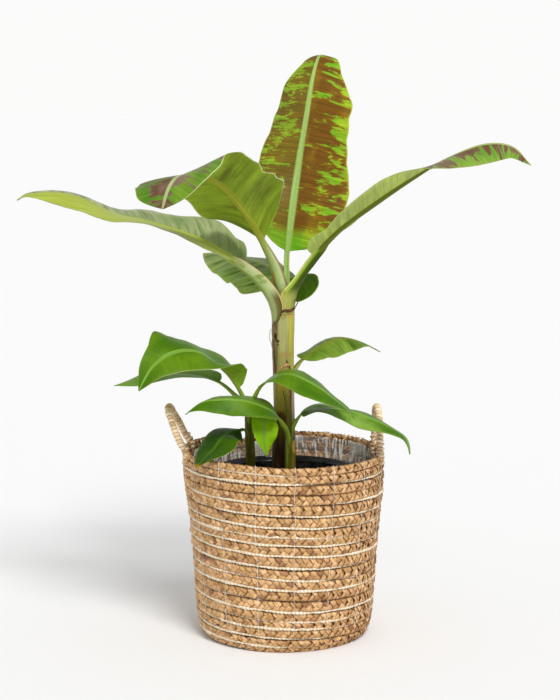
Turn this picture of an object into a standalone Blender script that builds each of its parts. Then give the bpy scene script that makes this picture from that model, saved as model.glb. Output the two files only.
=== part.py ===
import math
import random

import bmesh
import bpy
import numpy as np

# A banana plant with two pups, in its nursery pot, standing in a lined basket of
# sewn braids. Metres, +Z up. The origin is the centre of the basket's underside,
# +X is to the right and +Y away from whoever stands before it.

# Gap that separate pieces keep where they touch
GAP = 0.0003

# Basket: rows of braid sewn one on another, wider at the rim than at the floor
BASKET_HEIGHT = 0.317
BASKET_ROWS = 19
BASKET_RADII = ((0.0, 0.1400), (0.018, 0.1475), (0.050, 0.1520), (0.140, 0.1570),
                (0.195, 0.1620), (0.245, 0.1675), (0.285, 0.1695), (0.317, 0.1690))
WALL_THICKNESS = 0.0125
INNER_HEIGHTS = (0.018, 0.100, 0.210)
ROW_GROOVE = 0.0032
RIM_ROUND = 0.0012
PLAIT_RELIEF = 0.0014
BASKET_STEPS = 48
LINER_STEPS = 24
BASE_THICKNESS = 0.010

# Handles: a rope loop on each side, its feet on the rim
ROPE_DIAMETER = 0.0115
HANDLE_SPREAD = 0.050
HANDLE_RISE = 0.070
HANDLE_STRAIGHT = 0.003
HANDLE_TURNS = 24
HANDLE_FOOT_X = 0.1575
LEFT_LEAN = 0.040
RIGHT_LEAN = 0.000

# Clear film that lines the basket
FILM = 0.0006
FILM_SET_BACK = 0.001

# Nursery pot, 254 mm (10 inch) across its rim
POT_RIM_RADIUS = 0.127
POT_RIM_HEIGHT = 0.018
POT_SHOULDER_RADIUS = 0.1205
POT_FOOT_RADIUS = 0.098
POT_WALL = 0.0022
POT_TOP = 0.281
POT_STEPS = 40
SOIL_TOP = 0.258
SOIL_BUMP = 0.0025
SOIL_RINGS = (0.82, 0.62, 0.42, 0.22)
HOLE_SIDES = 24
HOLE_LENGTH = 0.1

# Main stem: rolled leaf sheaths, a torn brown collar below the crown
STEM_ROOT = 0.215
STEM_RADII = ((0.215, 0.0185), (0.262, 0.0205), (0.300, 0.0198), (0.340, 0.0180), (0.390, 0.0170),
              (0.440, 0.0172), (0.480, 0.0178), (0.520, 0.0186), (0.548, 0.0196), (0.552, 0.0212),
              (0.560, 0.0212), (0.563, 0.0190), (0.578, 0.0165), (0.588, 0.0100))
STEM_SWAY = ((0.215, 0.001, 0.002), (0.380, 0.001, 0.000), (0.500, -0.003, 0.000), (0.588, -0.002, 0.001))
STEM_SIDES = 16
SHEATH_LAP = 0.0012
COLLAR_HEIGHT = 0.550
STEM_HOLE_RADIUS = 0.0222

# Pups: each a slim stem, listed as height, centre X, centre Y and radius
LEFT_PUP = ((0.225, -0.0575, -0.0300, 0.0082), (0.300, -0.0575, -0.0300, 0.0082),
            (0.350, -0.0595, -0.0315, 0.0078), (0.385, -0.0610, -0.0320, 0.0068))
RIGHT_PUP = ((0.225, 0.0090, -0.0500, 0.0092), (0.300, 0.0090, -0.0500, 0.0090),
             (0.335, 0.0090, -0.0505, 0.0086), (0.352, 0.0090, -0.0510, 0.0062))
PUP_SIDES = 12

# Leaves. The route is the midrib, from inside the stem out to the tip. Of its length,
# the first part (stub) grows on the stem's piece and the blade starts at stalk. The rib's
# half widths are at the stalk's root and at the blade's base. Widths
# are of each half, left and right as seen from above looking to the tip. The lifts are
# how far each half is raised above level, in degrees, at even steps along the blade.
LEAF_THICKNESS = 0.0009
TIP_RIB = 0.0010
CHANNEL = 38.0
CHANNEL_OPENS = 0.016
ARCH = 14.0
BLADE_OPENS = 0.010
STUB_STEP = 0.012
SECTIONS = 18
SECTIONS_SMALL = 11

MAIN_LEAVES = {
    "leaf_upright": {
        "route": ((0.000, 0.006, 0.520), (0.002, 0.012, 0.572), (0.004, 0.030, 0.609),
                  (0.007, 0.045, 0.648), (0.017, 0.075, 0.731), (0.028, 0.105, 0.812),
                  (0.037, 0.125, 0.875), (0.047, 0.147, 0.937), (0.057, 0.170, 0.974),
                  (0.064, 0.190, 0.983), (0.071, 0.210, 0.975)),
        "stub": 0.096, "stalk": 0.130, "rib": (0.0075, 0.0042), "widths": (0.077, 0.086),
        "left": (55, 40, 10, -5, -12, -8, -15), "right": (15, 0, -5, 5, -4, -8, -15),
        "round": 0.25, "taper": (0.45, 0.45), "waves": 4.0, "wave": 0.0028},
    "leaf_right": {
        "route": ((0.006, 0.000, 0.520), (0.009, 0.000, 0.573), (0.026, -0.005, 0.608),
                  (0.051, -0.010, 0.647), (0.092, -0.020, 0.695), (0.153, -0.035, 0.741),
                  (0.211, -0.050, 0.782), (0.259, -0.060, 0.812), (0.322, -0.070, 0.838),
                  (0.371, -0.070, 0.835), (0.403, -0.070, 0.804)),
        "stub": 0.096, "stalk": 0.120, "rib": (0.0100, 0.0048), "widths": (0.042, 0.065),
        "left": (10, -5, 12, 5, -25, -40, -50), "right": (25, 13, 21, 11, -20, -55, -70),
        "round": 0.10, "taper": (0.50, 0.50), "waves": 3.0, "wave": 0.0020},
    "leaf_front": {
        "route": ((-0.006, -0.005, 0.520), (-0.013, -0.006, 0.574), (-0.027, -0.020, 0.636),
                  (-0.042, -0.045, 0.683), (-0.067, -0.080, 0.727), (-0.098, -0.120, 0.769),
                  (-0.129, -0.155, 0.789), (-0.153, -0.180, 0.796), (-0.171, -0.205, 0.791),
                  (-0.183, -0.225, 0.772), (-0.191, -0.235, 0.744)),
        "stub": 0.102, "stalk": 0.162, "rib": (0.0098, 0.0065), "widths": (0.078, 0.074),
        "left": (95, 68, 42, 29, 30, 8, -10), "right": (25, -5, -22, -22, -25, -14, 0),
        "round": 0.12, "taper": (0.74, 0.84), "waves": 3.5, "wave": 0.0030},
    "leaf_left": {
        "route": ((-0.011, 0.000, 0.520), (-0.018, 0.000, 0.573), (-0.038, -0.005, 0.604),
                  (-0.065, -0.010, 0.630), (-0.142, -0.020, 0.676), (-0.224, -0.030, 0.707),
                  (-0.282, -0.030, 0.721), (-0.332, -0.030, 0.745), (-0.376, -0.030, 0.756),
                  (-0.423, -0.030, 0.754), (-0.445, -0.030, 0.744)),
        "stub": 0.112, "stalk": 0.132, "rib": (0.0112, 0.0052), "widths": (0.055, 0.062),
        "left": (0, -5, -5, -2, -20, -32, -14), "right": (35, 40, 20, 8, 1, 0, 15),
        "round": 0.10, "taper": (0.50, 0.50), "waves": 3.0, "wave": 0.0020},
    "leaf_back": {
        "route": ((0.001, 0.010, 0.530), (0.002, 0.016, 0.568), (0.001, 0.045, 0.595),
                  (-0.010, 0.090, 0.611), (-0.033, 0.140, 0.620), (-0.070, 0.190, 0.625),
                  (-0.113, 0.240, 0.627), (-0.148, 0.280, 0.625)),
        "stub": 0.072, "stalk": 0.086, "rib": (0.0085, 0.0046), "widths": (0.080, 0.082),
        "left": (-34, -20, -22, -20, -20, -20, -10), "right": (-48, -32, -15, -9, -9, -5, 10),
        "round": 0.14, "taper": (0.35, 0.35), "waves": 4.0, "wave": 0.0035},
    "leaf_low_right": {
        "route": ((0.001, 0.004, 0.410), (0.007, 0.012, 0.434), (0.019, 0.020, 0.455),
                  (0.031, 0.027, 0.469), (0.051, 0.042, 0.483), (0.071, 0.055, 0.492),
                  (0.094, 0.068, 0.499), (0.117, 0.080, 0.495), (0.140, 0.088, 0.486),
                  (0.167, 0.095, 0.471)),
        "stub": 0.060, "stalk": 0.070, "rib": (0.0048, 0.0030), "widths": (0.033, 0.033),
        "left": (0, -15, -8, -9, -2, 0, 0), "right": (-13, -25, -48, -52, -40, -7, 0),
        "round": 0.14, "taper": (0.40, 0.40), "waves": 2.0, "wave": 0.0012},
}

LEFT_PUP_LEAVES = {
    "pup_left_leaf_top": {
        "route": ((-0.061, -0.032, 0.365), (-0.064, -0.035, 0.399), (-0.072, -0.037, 0.418),
                  (-0.084, -0.042, 0.439), (-0.101, -0.050, 0.461), (-0.136, -0.070, 0.492),
                  (-0.159, -0.085, 0.500), (-0.180, -0.100, 0.499), (-0.198, -0.112, 0.492),
                  (-0.217, -0.125, 0.477), (-0.229, -0.135, 0.458), (-0.238, -0.140, 0.441)),
        "stub": 0.055, "stalk": 0.068, "rib": (0.0046, 0.0030), "widths": (0.045, 0.047),
        "left": (105, 42, -25, -46, -40, -32, -26), "right": (38, 20, 6, 11, 18, 0, 5),
        "round": 0.18, "taper": (0.55, 0.55), "waves": 2.0, "wave": 0.0015},
    "pup_left_leaf_under": {
        "route": ((-0.060, -0.030, 0.365), (-0.064, -0.030, 0.398), (-0.085, -0.025, 0.416),
                  (-0.100, -0.020, 0.429), (-0.116, -0.015, 0.438), (-0.144, -0.005, 0.445),
                  (-0.186, 0.000, 0.448), (-0.229, 0.005, 0.442), (-0.290, 0.005, 0.426)),
        "stub": 0.060, "stalk": 0.095, "rib": (0.0042, 0.0026), "widths": (0.028, 0.028),
        "left": (8, 2, -3, -16, -23, -28, -24), "right": (29, 14, 14, 12, 12, 5, -2),
        "round": 0.14, "taper": (0.50, 0.50), "waves": 2.0, "wave": 0.0010},
    "pup_left_leaf_across": {
        "route": ((-0.060, -0.034, 0.365), (-0.058, -0.045, 0.393), (-0.050, -0.050, 0.417),
                  (-0.038, -0.060, 0.438), (-0.016, -0.078, 0.455), (0.009, -0.090, 0.461),
                  (0.033, -0.100, 0.454), (0.058, -0.108, 0.441), (0.082, -0.115, 0.423),
                  (0.102, -0.122, 0.408), (0.115, -0.127, 0.392)),
        "stub": 0.056, "stalk": 0.084, "rib": (0.0042, 0.0026), "widths": (0.036, 0.036),
        "left": (17, 9, 3, -6, -10, -6, -6), "right": (-15, -13, -23, -31, -24, -6, 20),
        "round": 0.14, "taper": (0.50, 0.50), "waves": 2.0, "wave": 0.0012},
    "pup_left_leaf_inner": {
        "route": ((-0.060, -0.033, 0.355), (-0.058, -0.038, 0.378), (-0.053, -0.045, 0.394),
                  (-0.043, -0.058, 0.402), (-0.036, -0.070, 0.394), (-0.035, -0.082, 0.369),
                  (-0.034, -0.088, 0.346), (-0.030, -0.090, 0.322)),
        "stub": 0.049, "stalk": 0.053, "rib": (0.0036, 0.0024), "widths": (0.026, 0.020),
        "left": (0, -25, -25, -15, 5, 10, 10), "right": (-10, -25, -10, 0, 10, 10, 10),
        "round": 0.14, "taper": (0.45, 0.45), "waves": 1.0, "wave": 0.0008},
    "pup_left_leaf_low": {
        "route": ((-0.060, -0.032, 0.342), (-0.066, -0.040, 0.358), (-0.075, -0.050, 0.361),
                  (-0.086, -0.060, 0.361), (-0.098, -0.075, 0.357), (-0.107, -0.090, 0.351),
                  (-0.118, -0.112, 0.339), (-0.133, -0.130, 0.327), (-0.146, -0.145, 0.314)),
        "stub": 0.028, "stalk": 0.033, "rib": (0.0036, 0.0024), "widths": (0.032, 0.032),
        "left": (-60, -40, -6, -13, -6, 4, 5), "right": (-7, 0, 0, -4, -4, -2, 5),
        "round": 0.14, "taper": (0.50, 0.50), "waves": 2.0, "wave": 0.0010},
}

RIGHT_PUP_LEAVES = {
    "pup_right_leaf_left": {
        "route": ((0.008, -0.053, 0.330), (0.005, -0.060, 0.356), (-0.004, -0.068, 0.374),
                  (-0.015, -0.078, 0.391), (-0.030, -0.088, 0.403), (-0.059, -0.100, 0.417),
                  (-0.084, -0.105, 0.422), (-0.109, -0.108, 0.422), (-0.138, -0.110, 0.417),
                  (-0.164, -0.110, 0.397)),
        "stub": 0.046, "stalk": 0.070, "rib": (0.0042, 0.0026), "widths": (0.030, 0.030),
        "left": (-30, -32, -50, -64, -52, -42, 0), "right": (41, 22, 8, 1, -3, -13, -4),
        "round": 0.14, "taper": (0.50, 0.50), "waves": 2.0, "wave": 0.0010},
    "pup_right_leaf_right": {
        "route": ((0.010, -0.050, 0.330), (0.011, -0.050, 0.354), (0.015, -0.053, 0.370),
                  (0.023, -0.057, 0.384), (0.032, -0.060, 0.394), (0.059, -0.066, 0.400),
                  (0.107, -0.075, 0.397), (0.145, -0.082, 0.385), (0.183, -0.090, 0.367),
                  (0.201, -0.093, 0.352), (0.208, -0.095, 0.327)),
        "stub": 0.044, "stalk": 0.064, "rib": (0.0042, 0.0026), "widths": (0.026, 0.028),
        "left": (5, 5, -5, -4, -7, -7, 20), "right": (-30, -7, -25, -46, -30, -12, 0),
        "round": 0.14, "taper": (0.50, 0.50), "waves": 2.0, "wave": 0.0010},
}

# The next leaf of the right pup, still rolled: a spike beside the main stem
SPIKE_ROUTE = ((0.010, -0.051, 0.335), (0.010, -0.054, 0.372), (0.004, -0.050, 0.397),
               (-0.003, -0.045, 0.426))
SPIKE_RADII = (0.0030, 0.0008)

COLOURS = {
    "straw": ((0.60, 0.39, 0.19), 0.85),
    "rope": ((0.50, 0.36, 0.20), 0.90),
    "film": ((0.85, 0.85, 0.84), 0.20),
    "pot_plastic": ((0.015, 0.015, 0.017), 0.45),
    "potting_mix": ((0.045, 0.028, 0.018), 0.95),
    "stem": ((0.42, 0.46, 0.13), 0.55),
    "leaf": ((0.10, 0.27, 0.04), 0.42),
    "leaf_blotched": ((0.17, 0.20, 0.04), 0.42),
    "pup_leaf": ((0.07, 0.26, 0.02), 0.35),
    "pup_stem": ((0.20, 0.28, 0.04), 0.45),
}


def clear_scene():
    for obj in list(bpy.data.objects):
        bpy.data.objects.remove(obj, do_unlink=True)


def make_materials():
    materials = {}
    for name, (colour, roughness) in COLOURS.items():
        material = bpy.data.materials.new(name)
        material.use_nodes = True
        shader = material.node_tree.nodes["Principled BSDF"]
        shader.inputs["Base Color"].default_value = (*colour, 1.0)
        shader.inputs["Roughness"].default_value = roughness
        shader.inputs["Metallic"].default_value = 0.0
        materials[name] = material
    return materials


def add_object(name, bm, collection, material=None):
    mesh = bpy.data.meshes.new(name)
    bm.to_mesh(mesh)
    bm.free()
    mesh.shade_smooth()
    obj = bpy.data.objects.new(name, mesh)
    if material:
        mesh.materials.append(material)
    collection.objects.link(obj)
    return obj


def along_knots(knots, t):
    """Value at t, from 0 to 1, of a smooth curve through evenly spaced knots."""
    last = len(knots) - 1
    place = min(max(t, 0.0), 1.0) * last
    i = min(int(place), last - 1)
    f = place - i
    a, b = knots[i], knots[i + 1]
    before = knots[i - 1] if i > 0 else 2 * a - b
    after = knots[i + 2] if i + 2 <= last else 2 * b - a
    return 0.5 * (2 * a + (b - before) * f + (2 * before - 5 * a + 4 * b - after) * f ** 2
                  + (3 * a - before - 3 * b + after) * f ** 3)


def from_table(rows, z, column=1):
    return float(np.interp(z, [row[0] for row in rows], [row[column] for row in rows]))


def smooth_route(points, spacing):
    """Evenly spaced points on a smooth curve through the given ones, and its length."""
    p = np.array(points, dtype=float)
    ends = np.vstack([2 * p[0] - p[1], p, 2 * p[-1] - p[-2]])
    fine = []
    for a, b, c, d in zip(ends[:-3], ends[1:-2], ends[2:-1], ends[3:]):
        for t in np.linspace(0, 1, 24, endpoint=False):
            fine.append(0.5 * (2 * b + (c - a) * t + (2 * a - 5 * b + 4 * c - d) * t ** 2
                               + (3 * b - a - 3 * c + d) * t ** 3))
    fine = np.array(fine + [p[-1]])
    travelled = np.concatenate([[0], np.cumsum(np.linalg.norm(np.diff(fine, axis=0), axis=1))])
    length = travelled[-1]
    wanted = np.linspace(0, length, max(3, round(length / spacing) + 1))
    even = np.stack([np.interp(wanted, travelled, fine[:, k]) for k in range(3)], axis=-1)
    return even, length


class Midrib:
    """A leaf's centre line with its directions: along it, to its left, and up from the blade."""

    SPACING = 0.003
    HEADING_SHARE = 0.13

    def __init__(self, route):
        self.points, self.length = smooth_route(route, self.SPACING)
        self.along = np.gradient(self.points, axis=0)
        self.along /= np.linalg.norm(self.along, axis=1)[:, None]
        reach = max(2, round(len(self.points) * self.HEADING_SHARE))
        plan = np.array([self.along[max(0, i - reach):i + reach + 1, :2].mean(axis=0)
                         for i in range(len(self.points))])
        self.left = np.stack([-plan[:, 1], plan[:, 0], np.zeros(len(plan))], axis=-1)
        self.left -= (self.left * self.along).sum(axis=1)[:, None] * self.along
        self.left /= np.linalg.norm(self.left, axis=1)[:, None]

    def at(self, distance):
        place = distance / self.length * (len(self.points) - 1)
        i = min(int(place), len(self.points) - 2)
        f = place - i
        point = (1 - f) * self.points[i] + f * self.points[i + 1]
        along = (1 - f) * self.along[i] + f * self.along[i + 1]
        along /= np.linalg.norm(along)
        left = (1 - f) * self.left[i] + f * self.left[i + 1]
        left -= (left @ along) * along
        left /= np.linalg.norm(left)
        return point, left, np.cross(along, left)


def blade_share(q, rounding, taper):
    """Share of the full half width at q along the blade: a round base and a drawn-out tip."""
    base = math.sqrt(1 - (1 - min(q / rounding, 1)) ** 2)
    tip = 1 - (max(0, q - taper) / (1 - taper)) ** 2
    return base * tip


def leaf_section(leaf, midrib, distance, steps):
    """One ring around the leaf: the upper face from the right edge to the left, then back below."""
    point, left, up = midrib.at(distance)
    stalk = leaf["stalk"]
    q = (distance - stalk) / (midrib.length - stalk)
    root, base = leaf["rib"]
    if q < 0:
        rib = root + (base - root) * distance / stalk
    else:
        rib = TIP_RIB + (base - TIP_RIB) * (1 - q) ** 0.8
    opened = min(max(1 + (distance - stalk) / CHANNEL_OPENS, 0), 1)
    halves = []
    for sign, width, lifts, taper in ((1, leaf["widths"][0], leaf["left"], leaf["taper"][0]),
                                      (-1, leaf["widths"][1], leaf["right"], leaf["taper"][1])):
        share = blade_share(q, leaf["round"], taper) if q > 0 else 0
        blade = max(width - rib, 0) * share
        spread = min(blade / BLADE_OPENS, 1)
        lift = CHANNEL + (along_knots(lifts, q) - CHANNEL) * opened
        ripple = leaf["wave"] * math.sin(math.tau * leaf["waves"] * q + sign) * share
        top, low = [], []
        here = point.copy()
        reached = 0.0
        crossed = 0.0
        for on_stalk, on_rib, on_blade in steps:
            out = rib * (on_stalk + (on_rib - on_stalk) * spread) + blade * on_blade
            angle = math.radians(lift + ARCH * opened * (0.5 - (on_blade + crossed) / 2))
            here = here + (sign * math.cos(angle) * left + math.sin(angle) * up) * (out - reached)
            reached, crossed = out, on_blade
            under = angle if angle > 0 else angle * on_blade ** 0.3
            square = math.cos(under) * up - sign * math.sin(under) * left
            face = here + square * ripple * on_blade ** 2
            belly = rib * math.sqrt(1 - min(out / rib, 1) ** 2)
            top.append(face)
            low.append(face - square * (LEAF_THICKNESS + belly))
        halves.append((top, low))
    (left_top, left_low), (right_top, right_low) = halves
    middle_low = point - up * (LEAF_THICKNESS + rib)
    return right_top[::-1] + [point] + left_top + left_low[::-1] + [middle_low] + right_low


def loft_leaf(bm, rings):
    """Skin the rings, with each strip split the same way on both faces."""
    verts = [[bm.verts.new(p) for p in ring] for ring in rings]
    size = len(rings[0])
    half = size // 2
    for one, two in zip(verts[:-1], verts[1:]):
        for k in range(size):
            n = (k + 1) % size
            if k < half:
                bm.faces.new((one[k], two[k], two[n]))
                bm.faces.new((one[k], two[n], one[n]))
            else:
                bm.faces.new((one[k], two[k], one[n]))
                bm.faces.new((one[n], two[k], two[n]))
    for ring, flip in ((verts[0], False), (verts[-1], True)):
        for k in range(half - 1):
            corners = (ring[k], ring[k + 1], ring[size - 2 - k], ring[size - 1 - k])
            bm.faces.new(corners[::-1] if flip else corners)
    bmesh.ops.recalc_face_normals(bm, faces=bm.faces)


# Points of one half of a section: share of the stalk's half width, then, where the
# blade has opened, shares of the rib's half width and of the blade beside it
STEPS_WIDE = ((0.4, 0.6, 0.0), (0.7, 1.0, 0.03), (0.9, 1.0, 0.5), (1.0, 1.0, 1.0))
STEPS_SMALL = ((0.5, 0.6, 0.0), (0.8, 1.0, 0.08), (1.0, 1.0, 1.0))


def make_leaf(name, leaf, steps, sections, collection, material):
    midrib = Midrib(leaf["route"])
    start = leaf["stub"] + GAP
    distances = [start, (start + leaf["stalk"]) / 2]
    blade = midrib.length - leaf["stalk"]
    for k in range(sections + 1):
        distances.append(leaf["stalk"] + blade * (1 - math.cos(math.pi * k / sections)) / 2)
    bm = bmesh.new()
    loft_leaf(bm, [leaf_section(leaf, midrib, d, steps) for d in distances])
    return add_object(name, bm, collection, material)


def make_stub(name, leaf, steps, collection):
    """The foot of a leaf stalk, from inside the stem to where the leaf's own piece begins."""
    midrib = Midrib(leaf["route"])
    count = max(3, round(leaf["stub"] / STUB_STEP))
    bm = bmesh.new()
    loft_leaf(bm, [leaf_section(leaf, midrib, leaf["stub"] * k / count, steps) for k in range(count + 1)])
    return add_object(name, bm, collection)


def loft_rings(bm, rings):
    """Skin closed rings of equal count, with flat caps."""
    verts = [[bm.verts.new(p) for p in ring] for ring in rings]
    size = len(rings[0])
    for one, two in zip(verts[:-1], verts[1:]):
        for k in range(size):
            n = (k + 1) % size
            bm.faces.new((one[k], one[n], two[n], two[k]))
    bm.faces.new(verts[0][::-1])
    bm.faces.new(verts[-1])
    bmesh.ops.recalc_face_normals(bm, faces=bm.faces)


def level_ring(x, y, z, radius, sides, lobe=0.0, turn=0.0):
    """A level ring whose radius swells where one sheath laps over the next."""
    ring = []
    for k in range(sides):
        angle = math.tau * k / sides
        lap = ((angle + turn) / math.tau * 3) % 1.0
        r = radius + lobe * (1 - lap)
        ring.append((x + r * math.cos(angle), y + r * math.sin(angle), z))
    return ring


def union(body, others):
    """Fuse the other objects into body, as one closed skin."""
    grown = bpy.data.collections.new(body.name + "_grown")
    bpy.context.scene.collection.children.link(grown)
    for other in others:
        for home in list(other.users_collection):
            home.objects.unlink(other)
        grown.objects.link(other)
    join = body.modifiers.new("grown", "BOOLEAN")
    join.operation = "UNION"
    join.operand_type = "COLLECTION"
    join.collection = grown
    join.solver = "EXACT"
    bpy.context.view_layer.update()
    fused = bpy.data.meshes.new_from_object(body.evaluated_get(bpy.context.evaluated_depsgraph_get()))
    body.modifiers.remove(join)
    material = body.data.materials[0]
    body.data = fused
    fused.materials.clear()
    fused.materials.append(material)
    fused.shade_smooth()
    for other in others:
        bpy.data.objects.remove(other, do_unlink=True)
    bpy.data.collections.remove(grown)


def make_pseudostem(parts, materials):
    rings = []
    for z, radius in STEM_RADII:
        x = from_table(STEM_SWAY, z, 1)
        y = from_table(STEM_SWAY, z, 2)
        lobe = SHEATH_LAP if STEM_ROOT < z < COLLAR_HEIGHT else 0.0
        rings.append(level_ring(x, y, z, radius, STEM_SIDES, lobe, turn=z * 6))
    bm = bmesh.new()
    loft_rings(bm, rings)
    stem = add_object("pseudostem", bm, parts, materials["stem"])
    stubs = [make_stub(name + "_stub", leaf, STEPS_WIDE, parts) for name, leaf in MAIN_LEAVES.items()]
    union(stem, stubs)


def make_pup(name, sections, leaves, extra, parts, materials):
    rings = [level_ring(x, y, z, radius, PUP_SIDES) for z, x, y, radius in sections]
    bm = bmesh.new()
    loft_rings(bm, rings)
    stem = add_object(name, bm, parts, materials["pup_stem"])
    stubs = [make_stub(leaf_name + "_stub", leaf, STEPS_SMALL, parts) for leaf_name, leaf in leaves.items()]
    union(stem, stubs + extra)


def make_spike(parts):
    points, length = smooth_route(SPIKE_ROUTE, 0.008)
    rings = []
    for k, (x, y, z) in enumerate(points):
        share = k / (len(points) - 1)
        radius = SPIKE_RADII[0] + (SPIKE_RADII[1] - SPIKE_RADII[0]) * share
        rings.append(level_ring(x, y, z, radius, 8))
    bm = bmesh.new()
    loft_rings(bm, rings)
    return add_object("spike", bm, parts)


def make_leaves(parts, materials):
    blotched = ("leaf_upright", "leaf_front", "leaf_right")
    for name, leaf in MAIN_LEAVES.items():
        colour = "leaf_blotched" if name in blotched else "leaf"
        sections = SECTIONS_SMALL if name == "leaf_low_right" else SECTIONS
        make_leaf(name, leaf, STEPS_WIDE, sections, parts, materials[colour])
    for leaves in (LEFT_PUP_LEAVES, RIGHT_PUP_LEAVES):
        for name, leaf in leaves.items():
            make_leaf(name, leaf, STEPS_SMALL, SECTIONS_SMALL, parts, materials["pup_leaf"])


def turned(name, profile, steps, parts, material):
    """A turned piece: its half section, listed down the outer side, swept round Z."""
    bm = bmesh.new()
    verts = [bm.verts.new((r, 0, z)) for r, z in profile]
    for a, b in zip(verts[:-1], verts[1:]):
        bm.edges.new((a, b))
    if profile[0][0] > 0:
        bm.edges.new((verts[-1], verts[0]))
    obj = add_object(name, bm, parts, material)
    screw = obj.modifiers.new("turned", "SCREW")
    screw.axis = "Z"
    screw.steps = steps
    screw.render_steps = steps
    screw.use_merge_vertices = True
    screw.merge_threshold = 0.0001
    return obj


def wall_radius(z):
    return from_table(BASKET_RADII, z)


def make_basket_wall(parts, material):
    """Rows of braid: each row bulges, and its plait stands out in a zigzag that shifts row by row."""
    pitch = BASKET_HEIGHT / BASKET_ROWS
    outer = []
    for row in range(BASKET_ROWS):
        outer.append((row * pitch, -ROW_GROOVE, None))
        outer.append(((row + 0.5) * pitch, 0.0, row))
    outer.append((BASKET_HEIGHT, -RIM_ROUND, None))
    inner = [(z, -WALL_THICKNESS, None) for z in (BASKET_HEIGHT, *reversed(INNER_HEIGHTS), 0.0)]
    section = outer + inner
    columns = []
    bm = bmesh.new()
    for step in range(BASKET_STEPS):
        angle = math.tau * step / BASKET_STEPS
        column = []
        for z, inset, row in section:
            radius = wall_radius(z) + inset
            if row is not None:
                radius += PLAIT_RELIEF * (1 if (step + row) % 2 else -1)
            column.append(bm.verts.new((radius * math.cos(angle), radius * math.sin(angle), z)))
        columns.append(column)
    size = len(section)
    for one, two in zip(columns, columns[1:] + columns[:1]):
        for k in range(size):
            n = (k + 1) % size
            bm.faces.new((one[k], two[k], two[n], one[n]))
    bmesh.ops.recalc_face_normals(bm, faces=bm.faces)
    bmesh.ops.triangulate(bm, faces=bm.faces)
    return add_object("basket_wall", bm, parts, material)


def make_basket_base(parts, material):
    radius = wall_radius(0) - WALL_THICKNESS - GAP
    profile = [(0, BASE_THICKNESS), (radius, BASE_THICKNESS), (radius, 0), (0, 0)]
    return turned("basket_base", profile, BASKET_STEPS, parts, material)


def make_liner(parts, material):
    """A film bag against the wall and over the base, open at the top."""
    clear = WALL_THICKNESS + GAP
    floor = BASE_THICKNESS + GAP
    heights = (BASKET_HEIGHT - FILM_SET_BACK, *reversed(INNER_HEIGHTS))
    outside = [(wall_radius(z) - clear, z) for z in heights]
    outside += [(wall_radius(0) - clear, floor), (0, floor)]
    inside = [(0, floor + FILM), (wall_radius(0) - clear - FILM, floor + FILM)]
    inside += [(wall_radius(z) - clear - FILM, z) for z in reversed(heights)]
    profile = inside + outside
    return turned("basket_liner", profile, LINER_STEPS, parts, material)


def pot_floor():
    return BASE_THICKNESS + GAP + FILM + GAP


def pot_inside_radius(z):
    slope = (POT_SHOULDER_RADIUS - POT_FOOT_RADIUS) / (POT_TOP - POT_RIM_HEIGHT - pot_floor())
    return POT_FOOT_RADIUS + slope * (z - pot_floor()) - POT_WALL


def make_pot(parts, material):
    floor = pot_floor()
    shoulder = POT_TOP - POT_RIM_HEIGHT
    lip = POT_RIM_RADIUS - POT_WALL
    profile = [(0, floor + POT_WALL), (pot_inside_radius(floor + POT_WALL), floor + POT_WALL),
               (pot_inside_radius(shoulder), shoulder), (lip, shoulder + POT_WALL), (lip, POT_TOP),
               (POT_RIM_RADIUS, POT_TOP), (POT_RIM_RADIUS, shoulder), (POT_SHOULDER_RADIUS, shoulder),
               (POT_FOOT_RADIUS, floor), (0, floor)]
    return turned("nursery_pot", profile, POT_STEPS, parts, material)


def make_soil(parts, cutters, material):
    """Potting mix that fills the pot, lumpy on top, with a plain hole for each stem."""
    draw = random.Random(7)
    sides = POT_STEPS
    floor = pot_floor() + POT_WALL + GAP
    rings = [[(0, 0, floor)]]
    for z in (floor, SOIL_TOP):
        radius = pot_inside_radius(z) - GAP
        rings.append([(radius * math.cos(math.tau * k / sides), radius * math.sin(math.tau * k / sides), z)
                      for k in range(sides)])
    edge = pot_inside_radius(SOIL_TOP) - GAP
    for share in SOIL_RINGS:
        ring = []
        for k in range(sides):
            angle = math.tau * k / sides
            lump = draw.uniform(-SOIL_BUMP, SOIL_BUMP)
            ring.append((edge * share * math.cos(angle), edge * share * math.sin(angle), SOIL_TOP + lump))
        rings.append(ring)
    rings.append([(0, 0, SOIL_TOP)])
    bm = bmesh.new()
    verts = [[bm.verts.new(p) for p in ring] for ring in rings]
    for one, two in zip(verts[:-1], verts[1:]):
        for k in range(sides):
            n = (k + 1) % sides
            if len(one) == 1:
                bm.faces.new((one[0], two[n], two[k]))
            elif len(two) == 1:
                bm.faces.new((one[k], one[n], two[0]))
            else:
                bm.faces.new((one[k], one[n], two[n], two[k]))
    bmesh.ops.recalc_face_normals(bm, faces=bm.faces)
    bmesh.ops.triangulate(bm, faces=bm.faces)
    soil = add_object("soil", bm, parts, material)
    holes = [("main", from_table(STEM_SWAY, STEM_ROOT, 1), from_table(STEM_SWAY, STEM_ROOT, 2), STEM_ROOT,
              STEM_HOLE_RADIUS)]
    for name, pup in (("left_pup", LEFT_PUP), ("right_pup", RIGHT_PUP)):
        z, x, y, radius = pup[0]
        holes.append((name, x, y, z, radius + 2 * GAP))
    for name, x, y, bottom, radius in holes:
        middle = bottom - GAP + HOLE_LENGTH / 2
        bpy.ops.mesh.primitive_cylinder_add(vertices=HOLE_SIDES, radius=radius, depth=HOLE_LENGTH,
                                            end_fill_type="NGON", location=(x, y, middle))
        cutter = bpy.context.object
        cutter.name = name + "_hole"
        for home in list(cutter.users_collection):
            home.objects.unlink(cutter)
        cutters.objects.link(cutter)
        cutter.hide_render = True
        cutter.display_type = "WIRE"
        cut = soil.modifiers.new(name, "BOOLEAN")
        cut.operation = "DIFFERENCE"
        cut.solver = "EXACT"
        cut.object = cutter
    return soil


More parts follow.
